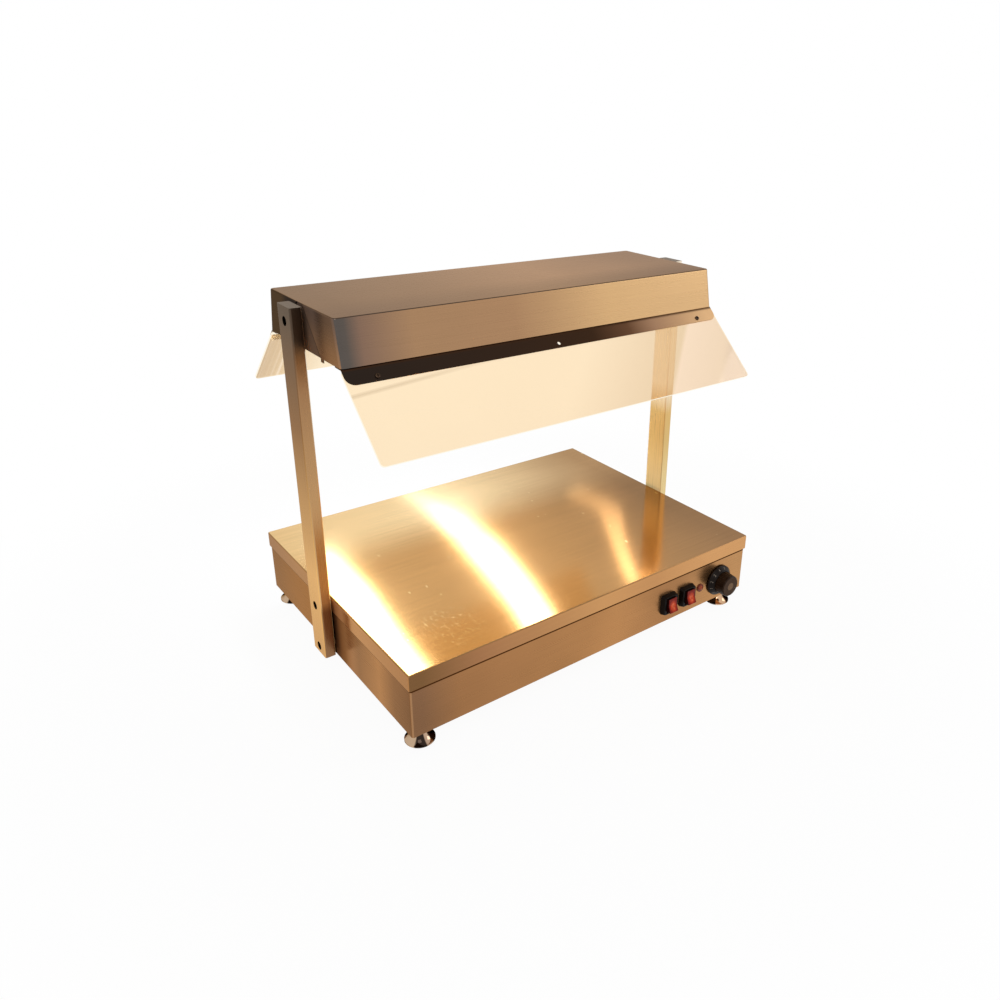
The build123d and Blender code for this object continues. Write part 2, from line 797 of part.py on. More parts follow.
def bulb_clips():
    """Saddles welded under the plate, round the bulb."""
    bore = bulb_radius + seat_fit
    back = bore + clip_sheet
    reach = bulb_radius + clip_foot
    saddle = Circle(back) + Pos(0, bulb_radius / 2) * Rectangle(2 * back, bulb_radius)
    saddle += Pos(0, bulb_radius - clip_sheet / 2) * Rectangle(2 * reach, clip_sheet)
    saddle -= Circle(bore) + Pos(0, bulb_radius / 2) * Rectangle(2 * bore, bulb_radius)
    saddle -= Pos(0, 2 * bulb_radius) * Rectangle(2 * reach, 2 * bulb_radius)
    clip = extrude(Plane.XZ * saddle, clip_width / 2, both=True)
    ends = (bulb_front_y + clip_end_gap, bulb_front_y + bulb_length - clip_end_gap)
    return [Pos(bulb_x, y, lid_under - bulb_radius) * clip for y in ends]


def gland_body():
    """Hexagon collar with a neck through the wall and a spigot for the dome nut."""
    body = hex_bar(gland_hex_flats, gland_hex_height)
    body += rod_z(gland_neck_radius, -gland_neck_length, 0)
    body += rod_z(gland_spigot_radius, gland_hex_height, gland_hex_height + gland_spigot_length)
    return body - rod_z(gland_bore_radius, -gland_neck_length, gland_hex_height + gland_spigot_length)


def gland_dome_nut():
    """Nut with a dome that narrows to the cable."""
    hex_top = gland_reach - gland_dome_height
    part = Pos(0, 0, gland_hex_height) * hex_bar(gland_hex_flats, hex_top - gland_hex_height)
    dome = Cone(gland_hex_flats / 2, gland_dome_radius, gland_dome_height)
    part += Pos(0, 0, hex_top + gland_dome_height / 2) * dome
    part -= rod_z(gland_spigot_radius + running_fit, gland_hex_height, gland_reach - gland_dome_lip)
    return part - rod_z(gland_bore_radius, gland_reach - gland_dome_lip, gland_reach)


def gland_seal():
    """Rubber ring between the spigot and the dome."""
    start = gland_hex_height + gland_spigot_length
    ring = rod_z(gland_spigot_radius, start, gland_reach - gland_dome_lip)
    return ring - rod_z(gland_seal_bore_radius, start, gland_reach - gland_dome_lip)


def gland_locknut():
    part = nut(gland_locknut_flats, gland_locknut_height, gland_neck_radius)
    return Pos(0, 0, -casing_sheet - gland_locknut_height) * part


def post():
    """Right post: tube with access holes outside, and bolt holes inside."""
    tube_bottom = post_bottom + post_cap
    tube_height = post_top - post_cap - tube_bottom
    corner = post_inner_corner + post_wall
    centre = Pos(post_inner + post_thickness / 2, 0, tube_bottom)
    tube = extrude(RectangleRounded(post_thickness, post_depth, corner), tube_height)
    hollow = RectangleRounded(post_thickness - 2 * post_wall, post_depth - 2 * post_wall, post_inner_corner)
    tube = centre * (tube - extrude(hollow, tube_height))
    for level in (lower_bolt_z, upper_bolt_z, hood_bolt_z):
        tube -= rod_x(access_radius, post_outer - post_wall, post_outer, 0, level)
        tube -= rod_x(bolt_hole_radius, post_inner, post_inner + post_wall, 0, level)
    return tube


def post_right():
    """The right post also lets the lead in and out."""
    tube = post()
    for level in (lead_base_z, lead_hood_z):
        tube -= rod_x(grommet_radius + seat_fit, post_inner, post_inner + post_wall, lead_y, level)
    return tube


def post_end_caps():
    """Plates that close both ends of both posts."""
    plate = extrude(RectangleRounded(post_thickness, post_depth, post_inner_corner + post_wall), post_cap)
    places = [Pos(post_inner + post_thickness / 2, 0, z) for z in (post_bottom, post_top - post_cap)]
    return [cap for place in places for cap in both_ends(place * plate)]


def post_spacers():
    """Sleeves that hold the posts off the casing's wall, the lid's lip and the hood's end."""
    seats = ((wall_x, lower_bolt_z), (plate_length / 2, upper_bolt_z), (hood_wall_x, hood_bolt_z))
    sleeves = []
    for face, level in seats:
        sleeve = rod_x(spacer_radius, face, post_inner, 0, level)
        sleeve -= rod_x(bolt_hole_radius, face, post_inner, 0, level)
        sleeves += both_ends(sleeve)
    return sleeves


def bolt_stations():
    """Inner face that each bolt is nutted against, and its level."""
    return ((inner_x, lower_bolt_z), (inner_x, upper_bolt_z), (hood_inside_x, hood_bolt_z))


def frame_bolts():
    """Socket-head bolts from inside the posts."""
    seat = post_inner + post_wall
    bolts = []
    for face, level in bolt_stations():
        bolt = rod_x(bolt_radius, face - nut_height - bolt_tail, seat, 0, level)
        bolt += rod_x(bolt_head_radius, seat, seat + bolt_head_height, 0, level)
        socket_plane = Plane(origin=(seat + bolt_head_height, 0, level), x_dir=(0, 1, 0), z_dir=(-1, 0, 0))
        bolt -= socket_plane.location * hex_bar(bolt_socket_flats, bolt_socket_depth)
        bolts += both_ends(bolt)
    return bolts


def frame_nuts():
    nuts = []
    for face, level in bolt_stations():
        place = Plane(origin=(face, 0, level), x_dir=(0, 1, 0), z_dir=(-1, 0, 0)).location
        nuts += both_ends(place * nut(nut_flats, nut_height, bolt_radius))
    return nuts


def gantry_hood():
    """Folded hood: leaning front and back, lapped corner flaps on the ends, and inward returns."""
    corner = hood_inner_corner + hood_sheet
    low = Pos(0, 0, hood_bottom) * RectangleRounded(2 * hood_end_x, hood_bottom_width, corner)
    high = Pos(0, 0, hood_top) * RectangleRounded(2 * hood_end_x, hood_top_width, corner)
    shell = loft([low, high], ruled=True)
    shell = fillet(shell.faces().sort_by(Axis.Z)[-1].edges(), hood_edge)
    shell = fillet(shell.faces().sort_by(Axis.Z)[0].edges(), hood_lip_round)
    shell += flap_tabs()
    shell -= hood_cavity()
    opening = hood_bottom_width / 2 - hood_return
    return_z = (hood_bottom, hood_bottom + hood_sheet)
    shell -= slab((-hood_inside_x, hood_inside_x), (-opening, opening), return_z)
    between_flaps = polygon(
        (-flap_bottom_half_gap, hood_bottom),
        (flap_bottom_half_gap, hood_bottom),
        (flap_top_half_gap, hood_top),
        (-flap_top_half_gap, hood_top),
    )
    shell -= both_ends(along_x(between_flaps, hood_wall_x, hood_end_x))
    shell -= rod_x(bolt_hole_radius, -hood_end_x, hood_end_x, 0, hood_bolt_z)
    shell -= rod_x(grommet_radius + seat_fit, hood_inside_x, hood_end_x, lead_y, lead_hood_z)
    return shell - rivet_holes(*return_z)


def hood_cavity():
    """Inside of the hood, one sheet in from its faces."""
    lean = (hood_bottom_width - hood_top_width) / 2 / hood_height
    inset = hood_sheet * math.hypot(1, lean)
    low_width = hood_bottom_width - 2 * (inset + lean * hood_sheet)
    high_width = hood_top_width - 2 * (inset - lean * hood_sheet)
    low = Pos(0, 0, hood_bottom + hood_sheet) * Rectangle(2 * hood_inside_x, low_width)
    high = Pos(0, 0, hood_top - hood_sheet) * Rectangle(2 * hood_inside_x, high_width)
    return loft([low, high], ruled=True)


def flap_tabs():
    """Small tabs left under the lapped flaps, beside their seams."""
    tab_z = (hood_bottom - flap_tab_drop, hood_bottom + flap_tab_root)
    tabs = []
    for y in (-flap_bottom_half_gap - flap_tab_width, flap_bottom_half_gap):
        tab = slab((hood_wall_x, hood_end_x), (y, y + flap_tab_width), tab_z)
        tabs += both_ends(tab)
    return tabs


def rivet_places():
    """Rivets through the front and rear returns."""
    y = hood_bottom_width / 2 - rivet_inset
    return [(x, side * y) for side in (-1, 1) for x in (-rivet_pitch, 0, rivet_pitch)]


def rivet_holes(bottom, top):
    return [rod_z(rivet_radius + running_fit, bottom, top, x, y) for x, y in rivet_places()]


def bracket_rivets():
    """Rivets through the bracket, the hood's return and the reflector's foot."""
    bottom = hood_bottom - bracket_sheet
    top = hood_bottom + hood_sheet + reflector_sheet
    rivet = rod_z(rivet_radius, bottom, top)
    rivet += rod_z(rivet_head_radius, bottom - rivet_head, bottom)
    rivet += rod_z(rivet_head_radius, top, top + rivet_head)
    return [Pos(x, y, 0) * rivet for x, y in rivet_places()]


def slope_point(x, drop, depth=0.0):
    """A point on the front bracket's outer face, or that far behind it."""
    return Vector(x, bend_y, hood_bottom) + down_slope * drop + behind_slope * depth


def slope_location(x, drop, depth=0.0):
    """A frame on the slope whose z points behind it."""
    return Plane(origin=slope_point(x, drop, depth), x_dir=(1, 0, 0), z_dir=behind_slope).location


def round_lower_corners(plate, radius):
    """Rounds the two lowest corners of a sloping plate."""
    lowest = plate.bounding_box().min.Z
    corners = [edge for edge in plate.edges() if abs(edge.tangent_at(0.5).dot(behind_slope)) > 0.99]
    corners = sorted(corners, key=lambda edge: edge.center().Z - lowest)[:2]
    return fillet(corners, radius)


def guard_screw_xs():
    reach = hood_end_x - guard_screw_inset
    return (-reach, reach)


def slope_holes(depth, thickness):
    """Screw holes and the open middle hole of the bracket or the guard."""
    holes = [(x, guard_screw_radius + hole_fit) for x in guard_screw_xs()] + [(0.0, guard_hole_radius)]
    return [slope_location(x, guard_screw_drop, depth) * rod_z(radius, 0, thickness) for x, radius in holes]


def guard_bracket():
    """Front bracket: a foot under the hood's return, and a sloping face with rounded ends."""
    length = hood_end_x - bracket_end_gap
    foot_end = bend_y + hood_return - bracket_setback
    lower = slope_point(0, bracket_width)
    folds = [(lower.Y, lower.Z), (bend_y, hood_bottom), (foot_end, hood_bottom)]
    outline = bent_sheet(folds, -bracket_sheet)
    bracket = round_lower_corners(along_x(outline, -length, length), bracket_corner)
    bracket -= slope_holes(0, bracket_sheet)
    return bracket - rivet_holes(hood_bottom - bracket_sheet, hood_bottom)


def guard():
    """Clear front guard behind its bracket."""
    length = hood_end_x
    corners = [
        slope_point(0, guard_top_gap, bracket_sheet),
        slope_point(0, guard_depth, bracket_sheet),
        slope_point(0, guard_depth, bracket_sheet + guard_thickness),
        slope_point(0, guard_top_gap, bracket_sheet + guard_thickness),
    ]
    sheet = along_x(polygon(*[(corner.Y, corner.Z) for corner in corners]), -length, length)
    sheet = round_lower_corners(sheet, guard_corner)
    return sheet - slope_holes(bracket_sheet, guard_thickness)


def guard_screws():
    """Pan-head screws with a cross recess, through the brackets and guards."""
    grip = bracket_sheet + guard_thickness + guard_nut_height + guard_screw_tail
    head = rod_z(guard_screw_head_radius, -guard_screw_head, 0)
    head = fillet(head.faces().sort_by(Axis.Z)[0].edges(), guard_screw_round)
    half_length = guard_screw_cross_length / 2
    half_width = guard_screw_cross_width / 2
    depth = (-guard_screw_head, guard_screw_cross_depth - guard_screw_head)
    head -= slab((-half_length, half_length), (-half_width, half_width), depth)
    head -= slab((-half_width, half_width), (-half_length, half_length), depth)
    screw = rod_z(guard_screw_radius, 0, grip) + head
    return front_and_rear([slope_location(x, guard_screw_drop) * screw for x in guard_screw_xs()])


def guard_nuts():
    part = nut(guard_nut_flats, guard_nut_height, guard_screw_radius)
    depth = bracket_sheet + guard_thickness
    return front_and_rear([slope_location(x, guard_screw_drop, depth) * part for x in guard_screw_xs()])


def front_and_rear(parts):
    return parts + [mirror(part, about=Plane.XZ) for part in parts]


def reflector():
    """Folded trough that stands on the hood's returns."""
    foot_z = hood_bottom + hood_sheet
    half_flat = reflector_flat / 2
    half_mouth = reflector_mouth / 2
    underside = [
        (half_mouth + reflector_foot, foot_z),
        (half_mouth, foot_z),
        (half_flat, reflector_z),
        (-half_flat, reflector_z),
        (-half_mouth, foot_z),
        (-half_mouth - reflector_foot, foot_z),
    ]
    trough = along_x(bent_sheet(underside, -reflector_sheet), -reflector_length / 2, reflector_length / 2)
    return trough - rivet_holes(foot_z, foot_z + reflector_sheet)


def lamp_span():
    """Both ends of the right lamp."""
    return lamp_spacing / 2, lamp_spacing / 2 + lamp_length


def lamp():
    """Quartz tube of the right lamp."""
    start, end = lamp_span()
    start += lamp_cap_length
    end -= lamp_cap_length
    bore_radius = lamp_radius - lamp_glass
    return rod_x(lamp_radius, start, end, 0, lamp_z) - rod_x(bore_radius, start, end, 0, lamp_z)


def lamp_end_caps():
    start, end = lamp_span()
    caps = []
    for cap_start in (start, end - lamp_cap_length):
        caps += both_ends(rod_x(lamp_cap_radius, cap_start, cap_start + lamp_cap_length, 0, lamp_z))
    return caps


def lamp_filaments():
    """Filament of each lamp, thin at the ends where it meets the caps."""
    start, end = lamp_span()
    middle = (start + end) / 2
    wire = rod_x(filament_tail_radius, start + lamp_cap_length, end - lamp_cap_length, 0, lamp_z)
    wire += rod_x(filament_radius, middle - filament_length / 2, middle + filament_length / 2, 0, lamp_z)
    return both_ends(wire)


def lamp_holders():
    """Ceramic holders under the reflector, each with a blind socket for a lamp's end."""
    holders = []
    for end, inward in zip(lamp_span(), (1, -1)):
        mouth = end + inward * socket_depth
        back = mouth - inward * holder_length
        low, high = sorted((mouth, back))
        holder = slab((low, high), (-holder_width / 2, holder_width / 2), (lamp_z, reflector_z))
        holder += rod_x(holder_width / 2, low, high, 0, lamp_z)
        holder -= rod_x(lamp_cap_radius + socket_clearance, end, mouth, 0, lamp_z)
        holders += both_ends(holder)
    return holders


def terminal_block():
    """Ceramic block with a row of towers, standing on the XY plane."""
    half_length = block_length / 2
    block = slab((-half_length, half_length), (-block_width / 2, block_width / 2), (0, block_base))
    tower_x = (-block_tower_length / 2, block_tower_length / 2)
    tower_z = (block_base, block_base + block_tower_height)
    wire_z = block_base + block_tower_height / 2
    for row in (-1, 0, 1):
        y = row * block_width / 3
        block += slab(tower_x, (y - block_tower_width / 2, y + block_tower_width / 2), tower_z)
        block -= rod_x(block_wire_radius, -half_length, half_length, y, wire_z)
    return block


def base_terminal_block():
    return Pos(inner_x - base_block_inset, lead_y, flange_top) * terminal_block()


def hood_terminal_block():
    place = Pos(hood_inside_x - hood_block_inset, lead_y, hood_top - hood_sheet)
    return place * Rot(180, 0, 0) * terminal_block()


def gantry_lead():
    """Lead from the base's terminal block, up the right post, to the hood's terminal block."""
    base_x = inner_x - base_block_inset
    hood_x = hood_inside_x - hood_block_inset
    block_height = block_base + block_tower_height
    path = FilletPolyline(
        (base_x, lead_y, flange_top + block_height),
        (base_x, lead_y, lead_base_z),
        (lead_post_x, lead_y, lead_base_z),
        (lead_post_x, lead_y, lead_hood_z),
        (hood_x, lead_y, lead_hood_z),
        (hood_x, lead_y, hood_top - hood_sheet - block_height),
        radius=[lead_bend, lead_post_bend, lead_post_bend, lead_bend],
    )
    section = Plane(origin=path @ 0, z_dir=path % 0) * Circle(lead_radius)
    return sweep(section, path)


def lead_grommets():
    """Flanged sleeves where the lead passes through the casing, the hood and the post."""
    sleeves = []
    for face, level in ((inner_x, lead_base_z), (hood_inside_x, lead_hood_z)):
        sleeve = rod_x(grommet_radius, face, post_inner + post_wall, lead_y, level)
        sleeve += rod_x(grommet_flange_radius, face - grommet_flange, face, lead_y, level)
        bore = rod_x(lead_radius + seat_fit, face - grommet_flange, post_inner + post_wall, lead_y, level)
        sleeves.append(sleeve - bore)
    return sleeves


def front(part):
    """Places a control on the front wall."""
    return front_wall * part


def build():
    """Every node of the warmer by name."""
    nodes = {
        "hot_plate_lid": hot_plate_lid(),
        "base_casing": base_casing(),
        "bottom_panel": bottom_panel(),
        "bottom_screws": bottom_screws(),
        "foot_inserts": foot_inserts(),
        "heating_element": heating_element(),
        "element_clamps": element_clamps(),
        "insulation_mat": insulation_mat(),
        "heat_shield": heat_shield(),
        "plate_studs": plate_studs(),
        "stud_nuts": stud_nuts(),
        "pilot_lamp_body": front(Pos(pilot_x, 0, 0) * pilot_lamp_body()),
        "pilot_lamp_lens": front(Pos(pilot_x, 0, 0) * pilot_lamp_lens()),
        "thermostat_body": front(thermostat_body()),
        "thermostat_screws": [front(screw) for screw in thermostat_screws()],
        "thermostat_spindle": front(thermostat_spindle()),
        "thermostat_knob": front(thermostat_knob()),
        "knob_cap": front(knob_cap()),
        "thermostat_bulb": thermostat_bulb(),
        "bulb_clips": bulb_clips(),
        "gland_body": gland_wall * gland_body(),
        "gland_dome_nut": gland_wall * gland_dome_nut(),
        "gland_seal": gland_wall * gland_seal(),
        "gland_locknut": gland_wall * gland_locknut(),
        "post_left": mirror(post(), about=Plane.YZ),
        "post_right": post_right(),
        "post_end_caps": post_end_caps(),
        "post_spacers": post_spacers(),
        "frame_bolts": frame_bolts(),
        "frame_nuts": frame_nuts(),
        "gantry_hood": gantry_hood(),
        "guard_bracket_front": guard_bracket(),
        "guard_bracket_rear": mirror(guard_bracket(), about=Plane.XZ),
        "guard_front": guard(),
        "guard_rear": mirror(guard(), about=Plane.XZ),
        "guard_screws": guard_screws(),
        "guard_nuts": guard_nuts(),
        "bracket_rivets": bracket_rivets(),
        "reflector": reflector(),
        "lamp_left": mirror(lamp(), about=Plane.YZ),
        "lamp_right": lamp(),
        "lamp_end_caps": lamp_end_caps(),
        "lamp_filaments": lamp_filaments(),
        "lamp_holders": lamp_holders(),
        "base_terminal_block": base_terminal_block(),
        "hood_terminal_block": hood_terminal_block(),
        "gantry_lead": gantry_lead(),
        "lead_grommets": lead_grommets(),
    }
    for name, x in zip(("left", "right"), switch_xs):
        nodes["switch_housing_" + name] = front(Pos(x, -switch_fall, 0) * switch_housing())
        nodes["rocker_" + name] = front(Pos(x, -switch_fall, 0) * rocker())
    for name, (x, y) in foot_places.items():
        nodes["foot_" + name] = Pos(x, y, 0) * foot()
        nodes["foot_pad_" + name] = Pos(x, y, 0) * foot_pad()
    return nodes


os.makedirs("parts", exist_ok=True)
for node_name, shape in build().items():
    solids = shape if isinstance(shape, list) else [shape]
    node = Compound([solid for part in solids for solid in part.solids()], label=node_name)
    export_step(node, os.path.join("parts", node_name + ".step"))
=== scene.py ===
import json
import math

import bpy
from mathutils import Matrix, Vector


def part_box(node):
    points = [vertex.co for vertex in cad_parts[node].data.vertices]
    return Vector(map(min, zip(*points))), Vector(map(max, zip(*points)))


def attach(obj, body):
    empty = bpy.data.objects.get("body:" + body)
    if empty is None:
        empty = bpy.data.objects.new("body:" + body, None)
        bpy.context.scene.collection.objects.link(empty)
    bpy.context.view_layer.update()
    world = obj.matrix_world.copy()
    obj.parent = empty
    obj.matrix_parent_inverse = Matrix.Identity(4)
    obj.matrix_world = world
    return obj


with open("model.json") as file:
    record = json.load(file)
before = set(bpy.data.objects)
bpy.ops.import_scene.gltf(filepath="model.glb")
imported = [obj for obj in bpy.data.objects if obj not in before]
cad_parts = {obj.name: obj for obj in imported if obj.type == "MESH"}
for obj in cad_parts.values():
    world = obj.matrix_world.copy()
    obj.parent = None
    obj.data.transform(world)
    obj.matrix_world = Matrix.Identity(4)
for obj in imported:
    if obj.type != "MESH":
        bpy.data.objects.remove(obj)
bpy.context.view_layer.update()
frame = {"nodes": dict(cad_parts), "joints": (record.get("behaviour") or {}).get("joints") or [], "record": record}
nodes = frame["nodes"]

# Sizes and places in metres, as the CAD part has them
plate_length = 0.6
plate_width = 0.45
plate_top = 0.1165
lip_bottom = 0.094
wall_y = 0.2232
post_half_depth = 0.01925
hood_top = 0.518
hood_height = 0.0565
flap_top_half_gap = 0.0075
flap_bottom_half_gap = 0.051
pilot_x = 0.201
control_z = 0.055
switch_x = 0.1513
switch_half_pitch = 0.0193
switch_z = 0.0537
skirt_rim = 0.0028
cone_top = 0.0102
cone_radius = 0.0186
foot_travel = 0.01

# Where tints, painted light and shade, and marks start, are full and end, in metres
half_fade = 0.05
post_shade_full = 0.015
post_shade_end = 0.045
dull_full_z = 0.21
dull_end_z = 0.28
scuff_x = -0.205
scuff_y = -0.165
scuff_full_radius = 0.02
scuff_end_radius = 0.055
lip_shade_start = 0.0041
lip_shade_full = 0.0033
hood_near_start = 0.01
hood_near_full = 0.09
flap_half_fade = 0.02
flap_edge = 0.0005
seam_full = 0.0006
seam_end = 0.0015
strip_shade_start = 0.0035
strip_shade_full = 0.001
grip_fade = 0.001
rocker_glow_radius = 0.011
hot_spot_full_radius = 0.002
hot_spot_end_radius = 0.0065
lens_radius = 0.0038
flange_radius = 0.005
lamp_glow_x = 0.128
lamp_glow_reach = 0.1

# The guards' slanted tint, partly painted reflection, and the faint line across the front one, in metres and
# slopes
guard_slant = 1.36
guard_slant_z = 0.3778
guard_line_z = 0.4515
guard_line_fall = 0.054
guard_line_full = 0.0004
guard_line_end = 0.002
guard_line_full_x = -0.25
guard_line_end_x = -0.06

# The dial's numbers, in metres and in degrees round the knob
number_count = 10
number_height = 0.0058
number_half_thickness = 0.0001
first_number_angle = -135
number_angle_step = 30

# The room, in metres, with squares of distances for the floor's shadow
floor_size = 30.0
shadow_full = 0.2
shadow_end = 0.9
light_aim = (0.0, 0.0, 0.2)

# The lamps' glow over the plate: places by x, y, width and brightness
glow_height = 0.3165
glow_steps = 3
cool_glow = (0.88, 0.94, 1.0)
warm_glow = (1.0, 0.94, 0.78)
left_places = (
    (-0.172, -0.02, 0.044, 12.0),
    (-0.164, 0.12, 0.052, 12.0),
    (-0.152, 0.28, 0.072, 12.0),
    (-0.133, 0.39, 0.04, 10.0),
    (-0.126, 0.46, 0.012, 4.0),
)
middle_places = (
    (0.058, -0.02, 0.058, 12.0),
    (0.0965, 0.115, 0.063, 12.0),
    (0.129, 0.28, 0.07, 12.0),
    (0.138, 0.37, 0.068, 9.0),
    (0.1415, 0.46, 0.054, 3.6),
    (0.139, 0.56, 0.04, 1.5),
    (0.134, 0.68, 0.03, 1.0),
)
right_places = (
    (0.284, 0.005, 0.022, 4.2),
    (0.31, 0.055, 0.024, 4.2),
    (0.356, 0.132, 0.028, 3.3),
    (0.407, 0.212, 0.038, 2.5),
    (0.452, 0.29, 0.055, 1.8),
    (0.44, 0.4, 0.06, 1.2),
)

# The photograph's viewpoint: turn, height and roll in degrees, and its place in metres
camera_angles = (-40.35, 22.64, 2.056)
camera_place = (-0.6734, -0.9889, 0.6353 + plate_top)


def srgb(red, green, blue):
    """A colour as it looks on a screen, 0 to 255, in the linear values that shaders take."""
    parts = (red / 255, green / 255, blue / 255)
    return tuple(
        part / 12.92 if part <= 0.04045 else ((part + 0.055) / 1.055) ** 2.4 for part in parts
    )


def squared_distance(across, up):
    """The square of a distance from its two parts."""
    return across * across + up * up


class Wire:
    """An output socket, on which sums are written as plain expressions."""

    def __init__(self, graph, socket):
        self.graph = graph
        self.socket = socket

    def math(self, operation, first, second=0.0):
        return self.graph.add("ShaderNodeMath", {"operation": operation}, {0: first, 1: second})

    def __add__(self, other):
        return self.math("ADD", self, other)

    def __radd__(self, other):
        return self.math("ADD", other, self)

    def __sub__(self, other):
        return self.math("SUBTRACT", self, other)

    def __rsub__(self, other):
        return self.math("SUBTRACT", other, self)

    def __mul__(self, other):
        return self.math("MULTIPLY", self, other)

    def __truediv__(self, other):
        return self.math("DIVIDE", self, other)

    def __neg__(self):
        return self.math("MULTIPLY", self, -1.0)

    def __abs__(self):
        return self.math("ABSOLUTE", self)

    def sign(self):
        return self.math("SIGN", self)

    def root(self):
        return self.math("SQRT", self)

    def larger(self, other):
        return self.math("MAXIMUM", self, other)


class Graph:
    """A node tree that is written as function calls."""

    def __init__(self, tree):
        self.tree = tree
        tree.nodes.clear()

    def plug(self, socket, value):
        """Links a wire to a socket, or sets the socket to a value."""
        if isinstance(value, Wire):
            self.tree.links.new(value.socket, socket)
        elif isinstance(value, tuple) and len(value) == 3 and socket.type == "RGBA":
            socket.default_value = (*value, 1.0)
        else:
            socket.default_value = value

    def add(self, kind, settings=(), inputs=(), output=0):
        """Adds a node: its settings first, then the values or links of its sockets."""
        node = self.tree.nodes.new(kind)
        for name, value in dict(settings).items():
            if name == "stops":
                while len(node.color_ramp.elements) < len(value):
                    node.color_ramp.elements.new(1.0)
                for element, (place, colour) in zip(node.color_ramp.elements, value):
                    element.position = place
                    element.color = (*colour, 1.0)
            else:
                setattr(node, name, value)
        for name, value in dict(inputs).items():
            self.plug(node.inputs[name], value)
        return Wire(self, node.outputs[output]) if node.outputs else None

    def axis(self, name):
        """One object coordinate in metres."""
        spot = self.add("ShaderNodeTexCoord", output="Object")
        return self.add("ShaderNodeSeparateXYZ", {}, {0: spot}, name)

    def facing(self, name):
        """How far the surface faces along one axis of its piece."""
        normal = self.add("ShaderNodeTexCoord", output="Normal")
        return self.add("ShaderNodeSeparateXYZ", {}, {0: normal}, name)

    def noise(self, scale, size=1.0, detail=2.0, roughness=0.5):
        """Noise in object coordinates, stretched by the scale along each axis."""
        spot = self.add("ShaderNodeTexCoord", output="Object")
        spot = self.add("ShaderNodeMapping", {}, {"Vector": spot, "Scale": scale})
        sockets = {"Vector": spot, "Scale": size, "Detail": detail, "Roughness": roughness}
        return self.add("ShaderNodeTexNoise", {}, sockets)

    def grain(self, size, detail=2.0, roughness=0.5):
        """Noise that is alike along each axis."""
        return self.noise((1.0, 1.0, 1.0), size, detail, roughness)

    def ramp(self, value, *stops):
        """A colour that runs through stops, each a place and a colour."""
        return self.add("ShaderNodeValToRGB", {"stops": stops}, {0: value})

    def span(self, value, low, high):
        """0 at low, 1 at high, and smooth between."""
        sockets = {"Value": value, "From Min": low, "From Max": high}
        return self.add("ShaderNodeMapRange", {"interpolation_type": "SMOOTHSTEP"}, sockets)

    def blend(self, share, first, second):
        """A mix of two colours."""
        sockets = {0: share, 6: first, 7: second}
        return self.add("ShaderNodeMix", {"data_type": "RGBA"}, sockets, 2)

    def scaled(self, vector, factor):
        """A vector or a colour times a number."""
        sockets = {0: vector, "Scale": factor}
        return self.add("ShaderNodeVectorMath", {"operation": "SCALE"}, sockets)

    def white_strength(self):
        """1 for rays from the camera, also reflected or through glass, and half that for light."""
        ways = ("Is Camera Ray", "Is Glossy Ray", "Is Transmission Ray")
        camera, glossy, through = (self.add("ShaderNodeLightPath", output=way) for way in ways)
        return 0.5 + camera.larger(glossy).larger(through) * 0.5


